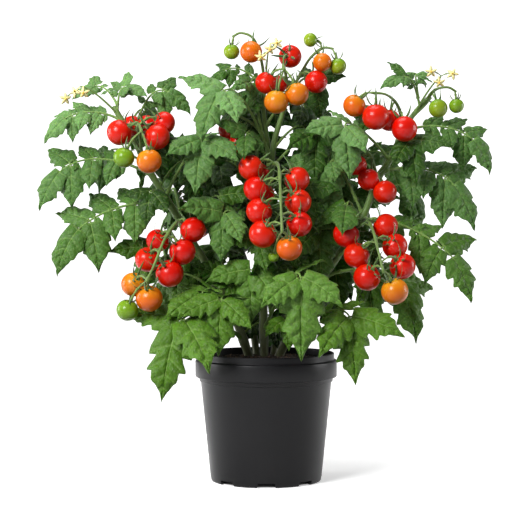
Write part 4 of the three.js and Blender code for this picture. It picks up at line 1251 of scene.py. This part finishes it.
def rescaled(tree, value, low, high, start=0.0, end=1.0):
    """A value's way from low to high, held at both and told as a way from start to end."""
    return add(tree, "ShaderNodeMapRange", {"Value": value, "From Min": low, "From Max": high,
        "To Min": start, "To Max": end}).outputs[0]


def ramp(tree, factor, steps):
    """Colours that run into each other, each at its step."""
    made = add(tree, "ShaderNodeValToRGB", {"Fac": factor})
    elements = made.color_ramp.elements
    elements[0].color = tint(steps[0][1])
    elements[1].color = tint(steps[-1][1])
    for at, code in steps[1:-1]:
        elements.new(at).color = tint(code)
    return made.outputs["Color"]


def bumped(tree, height, strength, distance, **settings):
    return add(tree, "ShaderNodeBump",
        {"Height": height, "Strength": strength, "Distance": distance}, **settings).outputs[0]


def leaf_tissue():
    """Hairy, matt leaf tissue: deep green puffed between sunken veins, greyer underneath."""
    material, tree, shader = finish_of("tomato_leaf_tissue")
    place = object_place(tree)
    # Islands of tissue between the finest veins, drawn at 2.4 mm so that they show. The bump sinks the
    # veins, and painted shade darkens them.
    islands = add(tree, "ShaderNodeTexVoronoi", {"Vector": place, "Scale": 410.0},
        feature="SMOOTH_F1")
    sunk_and_painted_shade = rescaled(tree, islands.outputs["Distance"], 0.25, 0.7)
    # The tint attribute holds painted shade and painted light; each ramp runs from painted shade to
    # painted light.
    shade = rescaled(tree, attribute(tree, "tint"), -0.8, 0.8)
    cool = ramp(tree, shade, [(0.0, "#122706"), (0.5, "#335716"), (1.0, "#648b4d")])
    golden = ramp(tree, shade, [(0.0, "#182d03"), (0.5, "#3b600b"), (1.0, "#588024")])
    fresh = blend(tree, attribute(tree, "warm"), cool, golden)
    mottle = rescaled(tree, clouds(tree, place, 70.0, 4.0), 0.3, 0.7, 0.88, 1.08)
    colour = blend(tree, 1.0, fresh, mottle, "MULTIPLY")
    # Painted shade: darker green along the sunken fine veins.
    colour = blend(tree, maths(tree, "MULTIPLY", sunk_and_painted_shade, 0.2), colour, tint("#1f3f08"))
    for name, strength, code in (("vein", 0.7, "#8cab5c"), ("under", 0.6, "#56733a")):
        part = maths(tree, "MULTIPLY", attribute(tree, name), strength)
        colour = blend(tree, part, colour, tint(code))
    feed(tree, shader, {"Base Color": colour, "Normal": bumped(tree, sunk_and_painted_shade, 0.5, 0.0012, invert=True),
        "Roughness": 0.46, "IOR": 1.42, "Specular IOR Level": 0.22, "Sheen Weight": 0.04,
        "Sheen Roughness": 0.4, "Subsurface Weight": 0.1, "Subsurface Radius": (0.3, 1.0, 0.08),
        "Subsurface Scale": 0.0012})
    return material


def fruit_skin():
    """Thin, waxy skin over watery flesh: sharp highlights, and colour that turns as it ripens."""
    material, tree, shader = finish_of("tomato_fruit_skin")
    place = object_place(tree)
    uneven = maths(tree, "SUBTRACT", clouds(tree, place, 60.0, 2.0), 0.5)
    ripe = attribute(tree, "ripeness")
    young = maths(tree, "SUBTRACT", 1.0, ripe)
    shoulder = maths(tree, "MULTIPLY", attribute(tree, "crown"), young)
    late = maths(tree, "MULTIPLY_ADD", shoulder, -0.34, ripe)
    ripe_here = maths(tree, "ADD", late, maths(tree, "MULTIPLY", uneven, 0.16))
    colour = ramp(tree, ripe_here, [(0.0, "#6b9019"), (0.2, "#94a021"), (0.38, "#cf8712"),
        (0.55, "#d25c06"), (0.72, "#d22b02"), (1.0, "#c80c00")])
    specks = clouds(tree, place, 900.0, 1.0)
    feed(tree, shader, {"Base Color": colour, "Normal": bumped(tree, specks, 0.05, 0.0002),
        "Roughness": 0.3, "IOR": 1.42, "Specular IOR Level": 0.2, "Coat Weight": 0.22,
        "Coat Roughness": 0.2, "Subsurface Weight": 0.05, "Subsurface Radius": (1.0, 0.25, 0.05),
        "Subsurface Scale": 0.004})
    return material


def green_stem():
    """Ridged, downy stem: fresh green, purple-brown where it is old, paler at its joints."""
    material, tree, shader = finish_of("tomato_green_stem")
    stretched = add(tree, "ShaderNodeMapping", {"Vector": object_place(tree), "Scale": (1, 1, 0.18)})
    streaks = clouds(tree, stretched.outputs[0], 420.0, 3.0)
    fresh = blend(tree, streaks, tint("#3b5c16"), tint("#648430"))
    old = blend(tree, streaks, tint("#2b3010"), tint("#565a28"))
    aged = blend(tree, attribute(tree, "age"), fresh, old)
    colour = blend(tree, attribute(tree, "knee"), aged, tint("#8fa850"))
    feed(tree, shader, {"Base Color": colour, "Normal": bumped(tree, streaks, 0.3, 0.0004),
        "Roughness": 0.55, "Sheen Weight": 0.25})
    return material


def sepal_tissue():
    """Thin, downy sepals: darker green than the stem."""
    material, tree, shader = finish_of("tomato_sepal_tissue")
    colour = blend(tree, clouds(tree, object_place(tree), 220.0, 2.0), tint("#2a4a12"), tint("#557c28"))
    feed(tree, shader, {"Base Color": colour, "Roughness": 0.55, "Sheen Weight": 0.2})
    return material


def petal_tissue():
    """Soft yellow petals round a deeper yellow cone."""
    material, tree, shader = finish_of("tomato_petal_tissue")
    colour = blend(tree, attribute(tree, "tip"), tint("#efe4a0"), tint("#d9b23a"))
    feed(tree, shader, {"Base Color": colour, "Roughness": 0.6, "Subsurface Weight": 0.1,
        "Subsurface Scale": 0.001})
    return material


def moulded_polypropylene():
    """Injection-moulded charcoal polypropylene: a fine satin grain with a few rubbed marks."""
    material, tree, shader = finish_of("moulded_charcoal_polypropylene")
    place = object_place(tree)
    flow = clouds(tree, place, 16.0, 4.0)
    feed(tree, shader, {"Base Color": blend(tree, flow, tint("#0d0d0e"), tint("#141416")),
        "Normal": bumped(tree, clouds(tree, place, 1400.0, 2.0), 0.12, 0.0002),
        "Roughness": rescaled(tree, flow, 0.3, 0.7, 0.3, 0.4), "IOR": 1.49,
        "Specular IOR Level": 0.18})
    return material


def peat_and_bark():
    """Damp peat with bark crumbs: near black, with brown chips."""
    material, tree, shader = finish_of("peat_and_bark_mix")
    fine = clouds(tree, object_place(tree), 700.0, 4.0)
    chips = maths(tree, "POWER", attribute(tree, "chip"), 3.0)
    base = blend(tree, fine, tint("#120d09"), tint("#2e231a"))
    feed(tree, shader, {"Base Color": blend(tree, chips, base, tint("#5a3f28")),
        "Normal": bumped(tree, fine, 0.8, 0.0012), "Roughness": 0.9})
    return material


def glowing_paper():
    """Matt white paper that glows, as painted light, ever more brightly away from the plant."""
    material, tree, shader = finish_of("matt_white_paper")
    far = add(tree, "ShaderNodeVectorMath", {0: object_place(tree)}, operation="LENGTH")
    # Painted light: the floor glows faintly near the plant and brighter far away.
    glow = rescaled(tree, far.outputs["Value"], 0.4, 3.0, 0.4, 1.05)
    feed(tree, shader, {"Emission Color": glow, "Emission Strength": 1.0,
        "Base Color": tint("#f6f6f6"), "Roughness": 0.8, "Specular IOR Level": 0.2})
    return material


def lit_screen():
    """An evenly lit white screen."""
    material, tree, shader = finish_of("lit_white_screen")
    feed(tree, shader, {"Base Color": tint("#f6f6f6"), "Emission Color": (1, 1, 1, 1),
        "Emission Strength": 1.1})
    return material


# ---- the plant, dressed
def dress_leaves():
    look = leaf_tissue()
    for prefix, plan in (("foliage_", leaves), ("young_foliage_", shoots)):
        for name, grown in plan.items():
            nodes = ["leaf_" + name] if plan is leaves else []
            piece(prefix + name, leaf_mesh(prefix + name, grown), nodes, look)


def dress_fruits():
    """Each colour of fruit is one piece, and the calyces are one more."""
    stem_nodes = ["stem_" + name for name in STEMS]
    master = linked("fruit_form", fruit_form())
    skin = fruit_skin()
    grouped = {kind: [] for kind in RIPENESS}
    for k, fruit in enumerate(fruits):
        kind, ripe = ripeness_of(fruit, k)
        grouped[kind].append((fruit, ripe))
    for seed, (kind, members) in enumerate(grouped.items()):
        points = fruit_spots([f for f, ripe in members], ripeness=[ripe for f, ripe in members])
        mesh = planted("fruits_" + kind, points, master, skin, seed)
        nodes = [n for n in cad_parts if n.startswith("fruit_") and f"_{kind}_" in n]
        piece("fruits_" + kind, mesh, nodes + stem_nodes)
    bpy.data.objects.remove(master)
    master = linked("calyx_form", calyx_form())
    mesh = planted("calyces", fruit_spots(fruits), master, sepal_tissue(), 7)
    piece("calyces", mesh, stem_nodes)
    bpy.data.objects.remove(master)


def fruit_spots(members, **more):
    columns = [[fruit[key] for fruit in members] for key in ("centre", "axis", "radius")]
    return spots("fruit_spots", *columns, **more)


def dress_flowers():
    master = linked("flower_form", flower_form())
    blooms = [(vec(centre), flower_facing(name, k)) for name, spray in SPRAYS.items()
        for k, centre in enumerate(spray["flowers"])]
    points = spots("flower_spots", *zip(*blooms), [FLOWER_RADIUS] * len(blooms))
    mesh = planted("open_flowers", points, master, petal_tissue(), 3)
    piece("open_flowers", mesh, ["flowers_" + name for name in SPRAYS])
    bpy.data.objects.remove(master)


def dress_pot():
    piece("pot_shell", pot_mesh(), ["pot"], moulded_polypropylene())
    peat = peat_and_bark()
    fill = mix_mesh()
    master = linked("crumb_form", crumb_form())
    crumbs = run_tree("potting_mix_crumbs", fill.copy(), crumb_tree(peat),
        {"Master": master, **CRUMB_PLAN})
    piece("potting_mix_fill", fill, ["potting_mix"], peat)
    piece("potting_mix_crumbs", crumbs, ["potting_mix"])
    bpy.data.objects.remove(master)


# ---- floor, light and camera
FLOOR_SIZE = 40
SCREEN_SIZE = 60
SCREEN_AWAY = 14
WORLD_STRENGTH = 0.25
# Area lights: where each one hangs, its side and its power in watts.
SOFTBOXES = {"key": ((-1.1, -1.5, 1.35), 0.85, 60), "left_strip": ((-1.4, 0.2, 0.5), 0.7, 12),
    "right_strip": ((1.4, 0.2, 0.5), 0.6, 9), "top": ((-0.1, 0.1, 1.6), 0.8, 11)}
LIGHT_AIM = (0, 0, 0.28)
CAMERA_PLACE = (-0.007, -2.1, 0.325)
CAMERA_AIM = (-0.007, 0, 0.251)
FOCAL_LENGTH = 128.07
SENSOR_WIDTH = 36


def stage(name, size, place, tilt, material):
    """A flat sheet of the studio. The plant is lit by the lights alone."""
    bpy.ops.mesh.primitive_plane_add(size=size, location=place, rotation=(tilt, 0, 0))
    sheet = bpy.context.object
    sheet.name = name
    sheet.data.materials.append(material)
    sheet.visible_diffuse = False
    return sheet


def aimed(name, data, place, target):
    """A light or camera that looks from a place at a target."""
    made = linked(name, data)
    made.location = place
    made.rotation_euler = (Vector(target) - Vector(place)).to_track_quat("-Z", "Y").to_euler()
    return made


def studio():
    stage("studio_floor", FLOOR_SIZE, (0, 0, 0), 0, glowing_paper())
    screen = stage("studio_screen", SCREEN_SIZE, (0, SCREEN_AWAY, 0), math.pi / 2, lit_screen())
    screen.visible_glossy = False
    screen.visible_transmission = False
    scene = bpy.context.scene
    scene.world = bpy.data.worlds.new("studio_world")
    scene.world.use_nodes = True
    tree = scene.world.node_tree
    feed(tree, tree.nodes["Background"], {"Color": (1, 1, 1, 1), "Strength": WORLD_STRENGTH})
    for name, (place, size, power) in SOFTBOXES.items():
        light = bpy.data.lights.new(name, "AREA")
        light.size = size
        light.energy = power
        aimed(name, light, place, LIGHT_AIM)
    lens = bpy.data.cameras.new("camera")
    lens.lens = FOCAL_LENGTH
    lens.sensor_width = SENSOR_WIDTH
    scene.camera = aimed("camera", lens, CAMERA_PLACE, CAMERA_AIM)
    scene.view_settings.view_transform = "Standard"


for grown in leaves.values():
    for leaf in grown:
        leaf["extras"] = between_pairs(leaf)
shoots = {name: young_leaves(name, row) for row, name in enumerate(STEMS)}

dress_leaves()
stem_look = green_stem()
for name in STEMS:
    piece("vine_" + name, stem_mesh(name), ["stem_" + name], stem_look)
dress_fruits()
dress_flowers()
for name in SPRAYS:
    piece("spray_" + name, spray_mesh(name), ["flowers_" + name], stem_look)
dress_pot()
studio()
